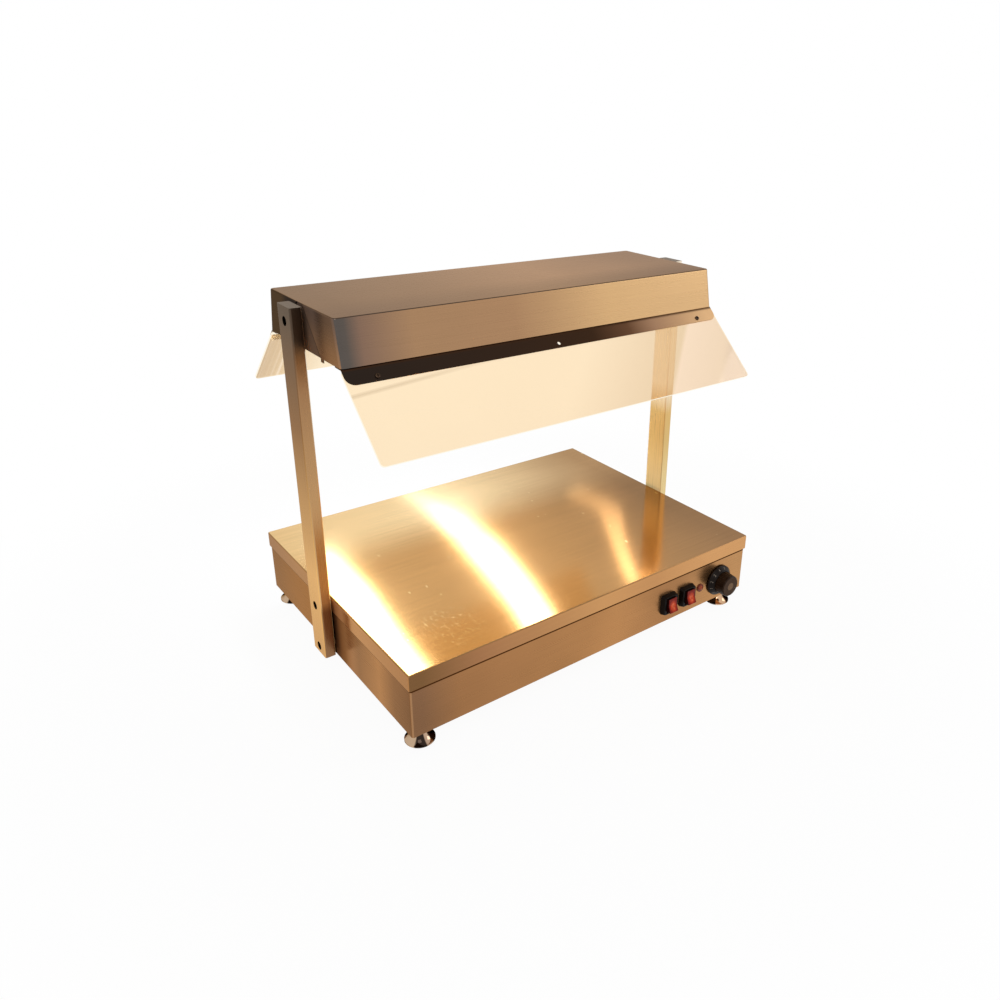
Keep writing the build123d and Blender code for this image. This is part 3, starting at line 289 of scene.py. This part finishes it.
class Finish(Graph):
    """A material with one Principled shader and the nodes that feed it."""

    def __init__(self, name, sockets=()):
        self.material = bpy.data.materials.new(name)
        self.material.use_nodes = True
        super().__init__(self.material.node_tree)
        self.shader = self.tree.nodes.new("ShaderNodeBsdfPrincipled")
        self.output = self.tree.nodes.new("ShaderNodeOutputMaterial")
        self.show(Wire(self, self.shader.outputs[0]))
        for socket, value in dict(sockets).items():
            self.set(socket, value)

    def set(self, name, value):
        """Sets or feeds one socket of the shader."""
        self.plug(self.shader.inputs[name], value)

    def show(self, surface):
        """Puts a shader on the surface."""
        self.plug(self.output.inputs["Surface"], surface)

    def along(self):
        """0 at the left end of the hot plate, 1 at its right end."""
        return self.axis("X") / plate_length + 0.5

    def deep(self):
        """0 at the front edge of the hot plate, 1 at its rear edge."""
        return self.axis("Y") / plate_width + 0.5

    def right_half(self):
        """0 on the left half of the object, 1 on its right half."""
        return self.span(self.axis("X"), -half_fade, half_fade)

    def rear_half(self):
        """0 on the front half of the object, 1 on its rear half."""
        return self.span(self.axis("Y"), -half_fade, half_fade)

    def end_share(self):
        """1 on faces at the object's two ends."""
        return self.span(abs(self.facing("X")), 0.6, 0.8)

    def top_share(self):
        """1 on faces that look up."""
        return self.span(self.facing("Z"), 0.5, 0.8)

    def under_share(self):
        """1 on faces that look down."""
        return self.span(-self.facing("Z"), 0.5, 0.8)

    def bend_share(self):
        """1 on the rounded bend between a top and the side below it."""
        up = self.facing("Z")
        return self.span(up, 0.3, 0.5) * (1.0 - self.span(up, 0.85, 0.97))

    def corner_share(self):
        """1 on the upright bend between the front and an end."""
        side = abs(self.facing("X"))
        return self.span(side, 0.15, 0.4) * (1.0 - self.span(side, 0.8, 0.97))

    def behind_post(self):
        """1 on the end faces behind a post and beside it."""
        full, end = post_half_depth + post_shade_full, post_half_depth + post_shade_end
        return self.end_share() * (1.0 - self.span(abs(self.axis("Y")), full, end))

    def inner_face(self):
        """1 on the posts' faces towards the plate."""
        across = self.axis("X")
        return self.span(-self.facing("X") * across.sign(), 0.3, 0.6)

    def dulled(self):
        """Partly matt low on the posts' inner faces, which heat and wiping have dulled."""
        return self.inner_face() * (1.0 - self.span(self.axis("Z"), dull_full_z, dull_end_z)) * 0.8

    def lamp_side(self):
        """1 on the rear bracket's face that the lamps shine on."""
        return self.rear_half() * self.span(-self.facing("Y"), 0.2, 0.5)

    def brushing(self, upright):
        """Fine lines along X, along Y on faces at the ends, or upright."""
        slow, broad = 6.0, 700.0
        if upright:
            return self.noise((broad, broad, slow))
        end = self.end_share()
        lengthwise = self.noise((slow, broad, broad)) * (1.0 - end)
        return lengthwise + self.noise((broad, slow, broad)) * end


def brushed_steel(name, tint, roughness, upright=False, matt=None, edge=(0.74, 0.67, 0.6)):
    """Stainless sheet with fine brushing lines and faint clouds, and no mirror where it is matt."""
    steel = Finish(name, {"Specular IOR Level": 0.0, "Specular Tint": edge})
    steel.set("Metallic", 1.0 - matt(steel) if matt else 1.0)
    lines = steel.brushing(upright)
    cloud = steel.noise((7.0, 7.0, 7.0))
    steel.set("Base Color", steel.scaled(tint(steel), 0.85 + lines * 0.1 + cloud * 0.2))
    steel.set("Roughness", roughness + (lines - 0.5) * 0.05)
    return steel


def plate_tint(steel):
    """Gold on top with a few scuffs, browner on the lip, both with painted light and shade, and painted shade on
    the bend, under the lip and behind the posts.
    """
    along, deep = steel.along(), steel.deep()
    # Painted light and shade on the top: brighter towards the rear, darker towards the right end
    middle = steel.ramp(
        along,
        (0.0, srgb(210, 163, 105)),
        (0.5, srgb(204, 155, 99)),
        (0.95, srgb(144, 111, 79)),
    )
    back = steel.ramp(
        along,
        (0.0, srgb(238, 202, 146)),
        (0.5, srgb(255, 226, 176)),
        (0.95, srgb(180, 144, 104)),
    )
    front = steel.ramp(
        along,
        (0.0, srgb(208, 161, 102)),
        (0.5, srgb(196, 150, 98)),
        (0.95, srgb(152, 117, 84)),
    )
    top = steel.blend(steel.span(deep, 0.55, 0.86), middle, back)
    top = steel.blend(1.0 - steel.span(deep, 0.01, 0.41), top, front)
    top = steel.scaled(top, 0.9 + steel.noise((5.0, 260.0, 1.0), detail=4.0) * 0.2)
    from_scuff = squared_distance(steel.axis("X") - scuff_x, steel.axis("Y") - scuff_y)
    worn = 1.0 - steel.span(from_scuff, scuff_full_radius ** 2, scuff_end_radius ** 2)
    rubbed = steel.noise((220.0, 130.0, 1.0), detail=4.0, roughness=0.75)
    marks = steel.span(rubbed, 0.54, 0.64) * worn
    nicks = steel.span(steel.noise((150.0, 60.0, 1.0), detail=0.0), 0.83, 0.85)
    top = steel.blend((marks + nicks) * 0.35, top, srgb(255, 232, 184))
    # Painted shade on the lip: darker towards the left end
    lip = steel.ramp(
        along,
        (0.03, srgb(124, 90, 57)),
        (0.17, srgb(162, 115, 78)),
        (0.5, srgb(204, 152, 99)),
        (0.67, srgb(196, 144, 94)),
        (0.85, srgb(210, 157, 104)),
    )
    # Painted shade on the ends: nearly black just behind a post and dark beside it, with painted light and shade
    # along the rest
    ends = steel.ramp(
        deep,
        (0.0, srgb(178, 126, 78)),
        (0.36, srgb(208, 151, 94)),
        (0.41, srgb(196, 137, 88)),
        (0.46, srgb(172, 116, 74)),
        (0.482, srgb(152, 100, 62)),
        (0.492, srgb(24, 10, 5)),
        (0.55, srgb(60, 38, 22)),
        (0.62, srgb(188, 134, 78)),
        (0.95, srgb(170, 118, 66)),
    )
    sides = steel.blend(steel.end_share(), lip, ends)
    colour = steel.blend(steel.top_share(), sides, top)
    # Painted shade on the rounded bend at the top's edge and on faces that look down
    colour = steel.blend(steel.bend_share() * 0.6, colour, srgb(110, 78, 46))
    return steel.blend(steel.under_share(), colour, srgb(70, 42, 20))


def casing_tint(steel):
    """Brown-gold, with painted shade to the left, under the lid's lip and behind the posts, and a painted
    highlight on the upright bends.
    """
    # Painted shade on the front: darker towards the left end
    front = steel.ramp(
        steel.along(),
        (0.03, srgb(134, 98, 70)),
        (0.12, srgb(160, 114, 74)),
        (0.55, srgb(184, 133, 85)),
        (0.72, srgb(168, 121, 80)),
        (0.97, srgb(194, 146, 98)),
    )
    # Painted light and shade on the ends: a painted highlight upright near the front, nearly black just behind a
    # post and dark beside it
    ends = steel.ramp(
        steel.deep(),
        (0.0, srgb(126, 85, 53)),
        (0.1, srgb(147, 102, 64)),
        (0.19, srgb(190, 135, 83)),
        (0.32, srgb(152, 106, 65)),
        (0.4, srgb(180, 124, 76)),
        (0.44, srgb(158, 105, 62)),
        (0.465, srgb(126, 82, 50)),
        (0.482, srgb(112, 72, 44)),
        (0.492, srgb(18, 7, 3)),
        (0.55, srgb(90, 58, 36)),
        (0.62, srgb(172, 112, 44)),
        (0.95, srgb(146, 95, 40)),
    )
    colour = steel.blend(steel.end_share(), front, ends)
    colour = steel.scaled(colour, 0.88 + steel.noise((11.0, 11.0, 16.0), detail=1.0) * 0.24)
    # Painted highlight on the upright bends between the front and the ends
    colour = steel.blend(steel.corner_share() * 0.4, colour, srgb(206, 158, 112))
    # Painted shade in a band just under the lid's lip
    start, full = lip_bottom - lip_shade_start, lip_bottom - lip_shade_full
    return steel.blend(steel.span(steel.axis("Z"), start, full), colour, srgb(70, 37, 9))


def hood_tint(steel):
    """Grey and dark at the left, gold at the right, as painted light and shade, with painted shade on the bend and
    the ends, and a dark seam along each flap on the ends.
    """
    along = steel.along()
    # Painted light and shade on the top: darker and greyer at the left, brighter towards the rear
    rear = steel.ramp(
        along,
        (0.05, srgb(160, 134, 112)),
        (0.6, srgb(206, 168, 134)),
        (0.95, srgb(175, 141, 113)),
    )
    near = steel.ramp(
        along,
        (0.05, srgb(151, 127, 109)),
        (0.5, srgb(182, 149, 119)),
        (0.95, srgb(147, 118, 96)),
    )
    near_share = steel.span(-steel.axis("Y"), hood_near_start, hood_near_full)
    top = steel.blend(near_share, rear, near)
    # Painted reflection on the front: a grey band at the left end, then brown, brighter to the right
    front = steel.ramp(
        along,
        (0.0, srgb(86, 80, 76)),
        (0.02, srgb(92, 84, 78)),
        (0.05, srgb(132, 105, 88)),
        (0.16, srgb(163, 127, 94)),
        (0.4, srgb(168, 130, 96)),
        (0.67, srgb(206, 167, 119)),
        (0.9, srgb(212, 173, 125)),
    )
    colour = steel.blend(steel.top_share(), front, top)
    # Painted shade along the bend between the top and the front
    colour = steel.blend(steel.bend_share(), colour, srgb(74, 60, 50))
    flap_slant = (flap_bottom_half_gap - flap_top_half_gap) / hood_height
    down = hood_top - steel.axis("Z")
    from_seam = abs(steel.axis("Y")) - flap_top_half_gap - down * flap_slant
    # Painted shade on the ends: darker high up, and darkest on the rear flap of the left end
    rear_left = steel.span(steel.axis("Y"), -flap_half_fade, flap_half_fade)
    rear_left = rear_left * (1.0 - steel.right_half())
    low_share = steel.span(down, 0.0, hood_height)
    near_flap = steel.blend(low_share, srgb(108, 87, 74), srgb(150, 113, 83))
    flaps = steel.blend(rear_left, near_flap, srgb(68, 57, 50))
    middle = steel.blend(low_share, srgb(100, 82, 71), srgb(122, 94, 74))
    ends = steel.blend(steel.span(from_seam, -flap_edge, 0.0), middle, flaps)
    seam = 1.0 - steel.span(abs(from_seam), seam_full, seam_end)
    return steel.blend(steel.end_share(), colour, steel.blend(seam, ends, srgb(28, 22, 18)))


def post_tint(steel):
    """Painted shade beside the hood and on the tops, painted light towards the plate, and pale where the lamps
    light a post.
    """
    rise = steel.axis("Z") / hood_top
    # Painted light and shade on the outer faces: bright low down, dark up beside the hood
    outer = steel.ramp(
        rise,
        (0.05, srgb(222, 170, 103)),
        (0.3, srgb(240, 188, 116)),
        (0.7, srgb(146, 105, 65)),
        (0.98, srgb(88, 76, 66)),
    )
    # Painted light and shade on the fronts: bright just above the plate, dark under the hood
    front = steel.ramp(
        rise,
        (0.06, srgb(140, 103, 72)),
        (0.2, srgb(150, 111, 76)),
        (0.226, srgb(214, 172, 118)),
        (0.8, srgb(160, 121, 85)),
        (0.88, srgb(118, 86, 58)),
        (0.92, srgb(80, 66, 54)),
    )
    left = steel.blend(steel.end_share(), front, outer)
    # Painted light where the lamps shine on the inner faces and the right post's front
    lit = steel.ramp(
        rise,
        (0.27, srgb(228, 203, 147)),
        (0.4, srgb(221, 188, 125)),
        (0.5, srgb(219, 182, 118)),
        (0.6, srgb(246, 232, 210)),
    )
    right_front = steel.right_half() * steel.span(-steel.facing("Y"), 0.3, 0.6)
    colour = steel.blend(steel.inner_face() + right_front, left, lit)
    # Painted shade on the posts' tops
    return steel.blend(steel.top_share(), colour, srgb(94, 82, 72))


def strip_tint(steel):
    """Nearly black to beyond the middle and tan at the control end in front, and gold at the rear, as painted
    reflection.

    It is shaded close under the hood, and pale where the lamps light it.
    """
    # Painted reflection on the front: nearly black, tan towards the control end
    front = steel.ramp(
        steel.along(),
        (0.0, srgb(43, 35, 30)),
        (0.6, srgb(55, 37, 25)),
        (0.71, srgb(94, 65, 46)),
        (0.79, srgb(153, 118, 91)),
        (0.97, srgb(204, 164, 120)),
    )
    colour = steel.blend(steel.rear_half(), front, srgb(150, 120, 92))
    hood_bottom = hood_top - hood_height
    start, full = hood_bottom - strip_shade_start, hood_bottom - strip_shade_full
    shade = steel.span(steel.axis("Z"), start, full)
    colour = steel.blend(shade * 0.75, colour, srgb(58, 36, 22))
    return steel.blend(steel.lamp_side(), colour, srgb(255, 250, 236))


def moulded_plastic(name, colour, roughness):
    """Moulded plastic with a fine texture and slightly uneven gloss, in a colour or a tint."""
    plastic = Finish(name, {"Specular IOR Level": 0.1})
    texture = plastic.grain(2600.0)
    patches = plastic.grain(90.0, 3.0)
    tint = colour(plastic) if callable(colour) else colour
    plastic.set("Base Color", plastic.scaled(tint, 0.75 + patches * 0.5))
    plastic.set("Roughness", roughness + (patches - 0.5) * 0.2)
    bump = plastic.add("ShaderNodeBump", {}, {"Height": texture, "Distance": 0.00004})
    plastic.set("Normal", bump)
    return plastic


def knob_tint(plastic):
    """Black on the skirt and round the grip, and brown on the grip's front, as painted light."""
    foot = wall_y + cone_top
    grip = plastic.span(-plastic.axis("Y"), foot, foot + grip_fade)
    # Painted light: the grip's front face lighter and browner than its sides
    front = plastic.span(-plastic.facing("Y"), 0.6, 0.95)
    colour = plastic.blend(front, srgb(32, 18, 9), srgb(66, 42, 20))
    return plastic.blend(grip, srgb(20, 11, 6), colour)


def plain_metal(name, colour, roughness):
    """Bright zinc, aluminium or wire with light handling marks."""
    metal = Finish(name, {"Metallic": 1.0})
    marks = metal.grain(240.0, 4.0, 0.6)
    low = tuple(part * 0.82 for part in colour)
    metal.set("Base Color", metal.ramp(marks, (0.3, low), (0.65, colour)))
    metal.set("Roughness", roughness + (marks - 0.5) * 0.2)
    return metal


def chrome_plate():
    """Polished chrome with faint swirls, and pale and dark wedges of painted reflection round each foot."""
    chrome = Finish("foot_chrome", {"Metallic": 1.0, "Specular Tint": (0.15, 0.11, 0.08)})
    swirl = chrome.grain(70.0, 3.0)
    # Painted reflection: pale and dark wedges by the way each side of a foot faces
    across, deep = chrome.facing("X"), chrome.facing("Y")
    turn = across / (squared_distance(across, deep) + 0.0001).root() * 0.5 + 0.5
    dark = srgb(52, 42, 36)
    right = chrome.ramp(
        turn,
        (0.1, dark),
        (0.13, srgb(222, 180, 142)),
        (0.55, srgb(190, 156, 126)),
        (0.62, dark),
    )
    left = chrome.ramp(
        turn,
        (0.1, srgb(190, 162, 134)),
        (0.13, dark),
        (0.47, dark),
        (0.51, srgb(182, 152, 128)),
        (0.72, srgb(196, 166, 140)),
        (0.78, dark),
    )
    colour = chrome.blend(chrome.right_half(), left, right)
    chrome.set("Base Color", chrome.scaled(colour, 0.85 + swirl * 0.3))
    chrome.set("Roughness", 0.1 + (swirl - 0.5) * 0.05)
    return chrome


def lit_rocker():
    """Translucent red plastic with a neon lamp behind the middle of its front, painted shade on its sides, and a
    hot spot of glow that is partly a painted highlight.
    """
    red = Finish("rocker_red", {"Specular IOR Level": 0.12})
    across = abs(red.axis("X") - switch_x) - switch_half_pitch
    up = red.axis("Z") - switch_z
    depth = red.grain(260.0)
    near = 1.0 - red.span(across * across * 2.2 + up * up, 0.0, rocker_glow_radius ** 2)
    front = red.span(-red.facing("Y"), 0.5, 0.95)
    # The lamp's glow has a small hot spot at the middle, which also stands in for a painted highlight
    full, end = hot_spot_full_radius ** 2, hot_spot_end_radius ** 2
    spot = 1.0 - red.span(across * across * 3.0 + up * up, full, end)
    glow = red.blend(spot * depth * front, (0.78, 0.1, 0.025), (1.0, 0.34, 0.15))
    # Painted shade: the sides darker than the front
    red.set("Base Color", red.blend(front, srgb(44, 4, 3), srgb(136, 24, 8)))
    red.set("Roughness", 0.15 + depth * 0.15)
    red.set("Emission Color", red.blend(front * near * depth, (0.0, 0.0, 0.0), glow))
    red.set("Emission Strength", 0.8)
    return red


def pilot_plastic():
    """Translucent amber plastic, darker round its flange."""
    amber = Finish("pilot_amber", {"Specular IOR Level": 0.3})
    from_middle = squared_distance(amber.axis("X") - pilot_x, amber.axis("Z") - control_z)
    flange = amber.span(from_middle, lens_radius ** 2, flange_radius ** 2)
    depth = amber.grain(300.0)
    colour = amber.blend(flange, srgb(160, 70, 32), srgb(112, 38, 12))
    amber.set("Base Color", amber.scaled(colour, 0.85 + depth * 0.3))
    amber.set("Roughness", 0.25 + depth * 0.1)
    return amber


def clear_acrylic():
    """Clear acrylic sheet, warm, with slanted bands of painted reflection, pale edges that glow with painted
    light, and painted streaks of reflection at the rear left.
    """
    acrylic = Finish("clear_acrylic", {"IOR": 1.3, "Transmission Weight": 1.0})
    haze = acrylic.grain(8.0, 3.0)
    across, deep, high = acrylic.axis("X"), acrylic.axis("Y"), acrylic.axis("Z")
    slanted = (across - (high - guard_slant_z) * guard_slant) / plate_length + 0.5
    # The sheet's warm cast, with slanted bands of painted reflection, darker towards the right end
    front = acrylic.ramp(
        slanted,
        (0.0, srgb(255, 232, 196)),
        (0.43, srgb(254, 230, 194)),
        (0.6, srgb(243, 217, 181)),
        (0.738, srgb(235, 208, 170)),
        (0.75, srgb(249, 223, 194)),
        (0.9, srgb(241, 215, 184)),
        (0.925, srgb(232, 206, 178)),
    )
    from_line = abs(high - guard_line_z - across * guard_line_fall)
    line = 1.0 - acrylic.span(from_line, guard_line_full, guard_line_end)
    line = line * (1.0 - acrylic.span(across, guard_line_full_x, guard_line_end_x))
    front = acrylic.blend(line * 0.6, front, srgb(206, 180, 146))
    along = acrylic.along()
    # Painted reflection on the rear guard: darker towards its left end
    rear = acrylic.ramp(
        along,
        (0.0, srgb(210, 180, 140)),
        (0.06, srgb(230, 200, 156)),
        (0.16, srgb(252, 232, 198)),
    )
    # Painted reflection: pale upright streaks near the rear guard's left end
    reflection_streaks = acrylic.span(acrylic.noise((150.0, 0.0, 0.0), detail=3.0), 0.48, 0.62)
    reflection_streaks = reflection_streaks * (1.0 - acrylic.span(along, 0.02, 0.14))
    rear = acrylic.blend(reflection_streaks, rear, srgb(248, 226, 196))
    cast = acrylic.blend(acrylic.rear_half(), front, rear)
    acrylic.set("Base Color", acrylic.scaled(cast, 0.98 + haze * 0.04))
    acrylic.set("Roughness", 0.02 + haze * 0.03)
    # Painted light: the sheet's edges glow pale
    sheet_face = acrylic.facing("Y") * acrylic.facing("Z") * deep.sign()
    edge = 1.0 - acrylic.span(sheet_face, 0.2, 0.4)
    pale = {"Color": srgb(255, 246, 226), "Strength": 1.0}
    edge_glow = acrylic.add("ShaderNodeEmission", {}, pale)
    clear = Wire(acrylic, acrylic.shader.outputs[0])
    acrylic.show(acrylic.add("ShaderNodeMixShader", {}, {0: edge, 1: clear, 2: edge_glow}))
    return acrylic


def quartz_lamp():
    """Quartz tube of a lamp that is lit, brightest at the middle of its filament."""
    tube = Finish("lit_quartz", {"Roughness": 0.15})
    off = abs(abs(tube.axis("X")) - lamp_glow_x) / lamp_glow_reach
    quartz = tube.ramp(off, (0.0, (1.0, 0.93, 0.8)), (1.0, (0.8, 0.76, 0.7)))
    tube.set("Base Color", quartz)
    glow = tube.ramp(off, (0.0, (1.0, 0.86, 0.62)), (1.0, (0.4, 0.22, 0.08)))
    tube.set("Emission Color", glow)
    tube.set("Emission Strength", 12.0)
    return tube


def fired_ceramic():
    """Off-white ceramic with fine specks."""
    clay = Finish("fired_ceramic")
    specks = clay.grain(500.0, 3.0)
    clay.set("Base Color", clay.ramp(specks, (0.3, (0.62, 0.58, 0.5)), (0.7, (0.82, 0.79, 0.72))))
    clay.set("Roughness", 0.6 + (specks - 0.5) * 0.3)
    return clay


def soft_rubber():
    """Black rubber with a faint bloom."""
    rubber = Finish("black_rubber")
    bloom = rubber.grain(300.0, 4.0)
    black, bloomed = (0.012, 0.012, 0.012), (0.035, 0.034, 0.033)
    rubber.set("Base Color", rubber.ramp(bloom, (0.3, black), (0.7, bloomed)))
    rubber.set("Roughness", 0.7 + (bloom - 0.5) * 0.3)
    return rubber


def fibre_board():
    """Pale insulation board with fibres along it."""
    board = Finish("fibre_board")
    fibres = board.noise((60.0, 400.0, 400.0), detail=5.0, roughness=0.7)
    board.set("Base Color", board.ramp(fibres, (0.3, (0.55, 0.5, 0.42)), (0.7, (0.8, 0.77, 0.7))))
    board.set("Roughness", 0.85 + (fibres - 0.5) * 0.2)
    board.set("Normal", board.add("ShaderNodeBump", {}, {"Height": fibres, "Distance": 0.0006}))
    return board


finishes = {
    "plate_steel": brushed_steel("plate_steel", plate_tint, 0.15, matt=Finish.behind_post),
    "casing_steel": brushed_steel(
        "casing_steel", casing_tint, 0.28, matt=Finish.behind_post, edge=(0.74, 0.65, 0.56)
    ),
    "hood_steel": brushed_steel(
        "hood_steel", hood_tint, 0.28, matt=Finish.behind_post, edge=(0.58, 0.5, 0.43)
    ),
    "post_steel": brushed_steel("post_steel", post_tint, 0.28, upright=True, matt=Finish.dulled),
    "bracket_steel": brushed_steel("bracket_steel", strip_tint, 0.3, matt=Finish.lamp_side),
    "fastener_steel": plain_metal("bright_zinc", (0.62, 0.6, 0.56), 0.28),
    "element_steel": plain_metal("heat_tinted_tube", (0.22, 0.19, 0.17), 0.4),
    "bulb_copper": plain_metal("capillary_copper", (0.72, 0.4, 0.26), 0.3),
    "shield_aluminium": plain_metal("shield_aluminium", (0.6, 0.6, 0.6), 0.4),
    "reflector_aluminium": plain_metal("reflector_aluminium", (0.8, 0.78, 0.72), 0.22),
    "guard_acrylic": clear_acrylic(),
    "lamp_glass": quartz_lamp(),
    "ceramic": fired_ceramic(),
    "filament_wire": plain_metal("filament_wire", (0.5, 0.45, 0.4), 0.4),
    "insulation_board": fibre_board(),
    "black_plastic": moulded_plastic("black_moulding", srgb(15, 8, 5), 0.34),
    "knob_plastic": moulded_plastic("knob_moulding", knob_tint, 0.36),
    "knob_disc": plain_metal("knob_disc_metal", srgb(112, 86, 62), 0.35),
    "rocker_red": lit_rocker(),
    "pilot_amber": pilot_plastic(),
    "foot_chrome": chrome_plate(),
    "rubber": soft_rubber(),
}


def dress_nodes():
    """Gives every CAD node the finish of its slot, the spacers a brown one in painted shade and the guard screws a
    darker one.
    """
    darker = {
        # The spacers' matt brown is painted shade, like the shade on the end walls beside them
        "post_spacers": moulded_plastic("spacer_dark", srgb(100, 66, 42), 0.6),
        "guard_screws": plain_metal("screw_dark", srgb(72, 56, 44), 0.2),
    }
    for row in frame["record"]["subparts"]:
        piece = nodes[row["node"]]
        finish = darker.get(row["node"]) or finishes[row["material_slot"]]
        piece.data.materials.clear()
        piece.data.materials.append(finish.material)


def dial_numbers():
    """Pale numbers printed round the knob's skirt, over the knob's three quarter turn."""
    ink = moulded_plastic("dial_ink", srgb(150, 138, 124), 0.5)
    turn = next(joint for joint in frame["joints"] if joint["name"] == "thermostat_turn")
    low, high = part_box("thermostat_knob")
    axis_x, axis_z = turn["pos_m"][0], turn["pos_m"][2]
    rim_radius = (high[0] - low[0]) / 2
    middle_radius = (rim_radius + cone_radius) / 2
    middle_height = (skirt_rim + cone_top) / 2
    slope = math.atan2(cone_top - skirt_rim, rim_radius - cone_radius)
    front = Vector((0.0, -1.0, 0.0))
    marks = []
    for number in range(number_count):
        angle = math.radians(first_number_angle + number * number_angle_step)
        bpy.ops.object.select_all(action="DESELECT")
        bpy.ops.object.text_add()
        mark = bpy.context.object
        mark.data.body = str(number)
        mark.data.align_x = "CENTER"
        mark.data.align_y = "CENTER"
        mark.data.size = number_height
        mark.data.extrude = number_half_thickness
        bpy.ops.object.convert(target="MESH")
        mark = bpy.context.object
        out = Vector((math.sin(angle), 0.0, math.cos(angle)))
        up = out * math.cos(slope) - front * math.sin(slope)
        normal = out * math.sin(slope) + front * math.cos(slope)
        side = up.cross(normal)
        turned = Matrix((side, up, normal)).transposed().to_4x4()
        spot = Vector((axis_x, -wall_y, axis_z)) + out * middle_radius + front * middle_height
        mark.data.transform(Matrix.Translation(spot) @ turned)
        marks.append(mark)
    bpy.ops.object.select_all(action="DESELECT")
    for mark in marks:
        mark.select_set(True)
    bpy.context.view_layer.objects.active = marks[0]
    bpy.ops.object.join()
    numbers = bpy.context.object
    numbers.name = "dial_numbers"
    numbers.data.materials.clear()
    numbers.data.materials.append(ink.material)
    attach(numbers, "knob")


def stand_floor():
    """White floor with a faint shadow, as low as the feet reach when they are screwed out."""
    bpy.ops.object.select_all(action="DESELECT")
    bpy.ops.mesh.primitive_plane_add(size=floor_size, location=(0.0, 0.0, -foot_travel))
    floor = bpy.context.object
    floor.name = "floor"
    pale = Finish("pale_floor")
    from_middle = squared_distance(pale.axis("X"), pale.axis("Y"))
    near = 1.0 - pale.span(from_middle, shadow_full, shadow_end)
    diffuse = pale.add("ShaderNodeBsdfDiffuse", {}, {"Color": (0.9, 0.9, 0.9)})
    white = {"Color": (1.0, 1.0, 1.0), "Strength": pale.white_strength()}
    glow = pale.add("ShaderNodeEmission", {}, white)
    pale.show(pale.add("ShaderNodeMixShader", {}, {0: near * 0.05, 1: glow, 2: diffuse}))
    floor.data.materials.append(pale.material)


def light_room():
    """White surroundings, two large soft lights, and the lamps' glow, which the plate mirrors."""
    world = bpy.data.worlds.new("white_room")
    bpy.context.scene.world = world
    world.use_nodes = True
    room = Graph(world.node_tree)
    white = {"Color": (1.0, 1.0, 1.0), "Strength": room.white_strength()}
    sky = room.add("ShaderNodeBackground", {}, white)
    room.add("ShaderNodeOutputWorld", {}, {"Surface": sky})
    for name, spot, size, power in (
        ("key_light", (-1.6, -2.2, 2.6), 1.6, 30.0),
        ("fill_light", (2.4, -1.4, 1.6), 1.4, 12.0),
    ):
        bpy.ops.object.light_add(type="AREA", location=spot)
        light = bpy.context.object
        light.name = name
        light.data.size = size
        light.data.energy = power
        aim = Vector(light_aim) - Vector(spot)
        light.rotation_euler = aim.to_track_quat("-Z", "Y").to_euler()
    lamp_glow("left_glow", cool_glow, left_places)
    lamp_glow("middle_glow", cool_glow, middle_places)
    lamp_glow("right_glow", warm_glow, right_places)


def lamp_glow(name, colour, places):
    """A smooth chain of narrow lights over the plate, through places of x, y, width, brightness."""
    places = [Vector(place) for place in places]
    spread = [places[0] * 2 - places[1], *places, places[-1] * 2 - places[-2]]
    chain = []
    for before, near, far, after in zip(spread, spread[1:], spread[2:], spread[3:]):
        leave, arrive = (far - before) / 2, (after - near) / 2
        bend = (far - near) * 3 - leave * 2 - arrive
        turn = leave + arrive - (far - near) * 2
        for step in range(glow_steps):
            share = step / glow_steps
            chain.append(near + leave * share + bend * share ** 2 + turn * share ** 3)
    chain.append(places[-1])
    for near, far in zip(chain, chain[1:]):
        middle = (near + far) / 2
        run = (far - near).to_2d()
        bpy.ops.object.light_add(type="AREA", location=(middle.x, middle.y, glow_height))
        strip = bpy.context.object
        strip.name = name
        strip.data.shape = "RECTANGLE"
        strip.data.size = middle.z
        strip.data.size_y = run.length
        strip.data.energy = middle.w * math.pi * middle.z * run.length
        strip.data.color = colour
        strip.rotation_euler = (0.0, 0.0, math.atan2(run.y, run.x) - math.pi / 2)
        strip.visible_camera = False


def set_camera():
    """A camera at the photograph's viewpoint, with its lens."""
    turn, height, roll = (math.radians(angle) for angle in camera_angles)
    level = math.cos(height)
    back = Vector((math.sin(turn) * level, -math.cos(turn) * level, math.sin(height)))
    right = (-back).cross(Vector((0.0, 0.0, 1.0))).normalized()
    up = right.cross(-back)
    side = right * math.cos(roll) + up * math.sin(roll)
    top = up * math.cos(roll) - right * math.sin(roll)
    turned = Matrix((side, top, back)).transposed().to_4x4()
    bpy.ops.object.camera_add()
    camera = bpy.context.object
    camera.name = "photo_camera"
    camera.matrix_world = Matrix.Translation(camera_place) @ turned
    camera.data.sensor_width = 36.0
    camera.data.lens = 30.769
    camera.data.shift_x = -0.09483
    camera.data.shift_y = -0.04518
    bpy.context.scene.camera = camera


dress_nodes()
dial_numbers()
stand_floor()
light_room()
set_camera()
bpy.context.scene.view_settings.view_transform = "Standard"
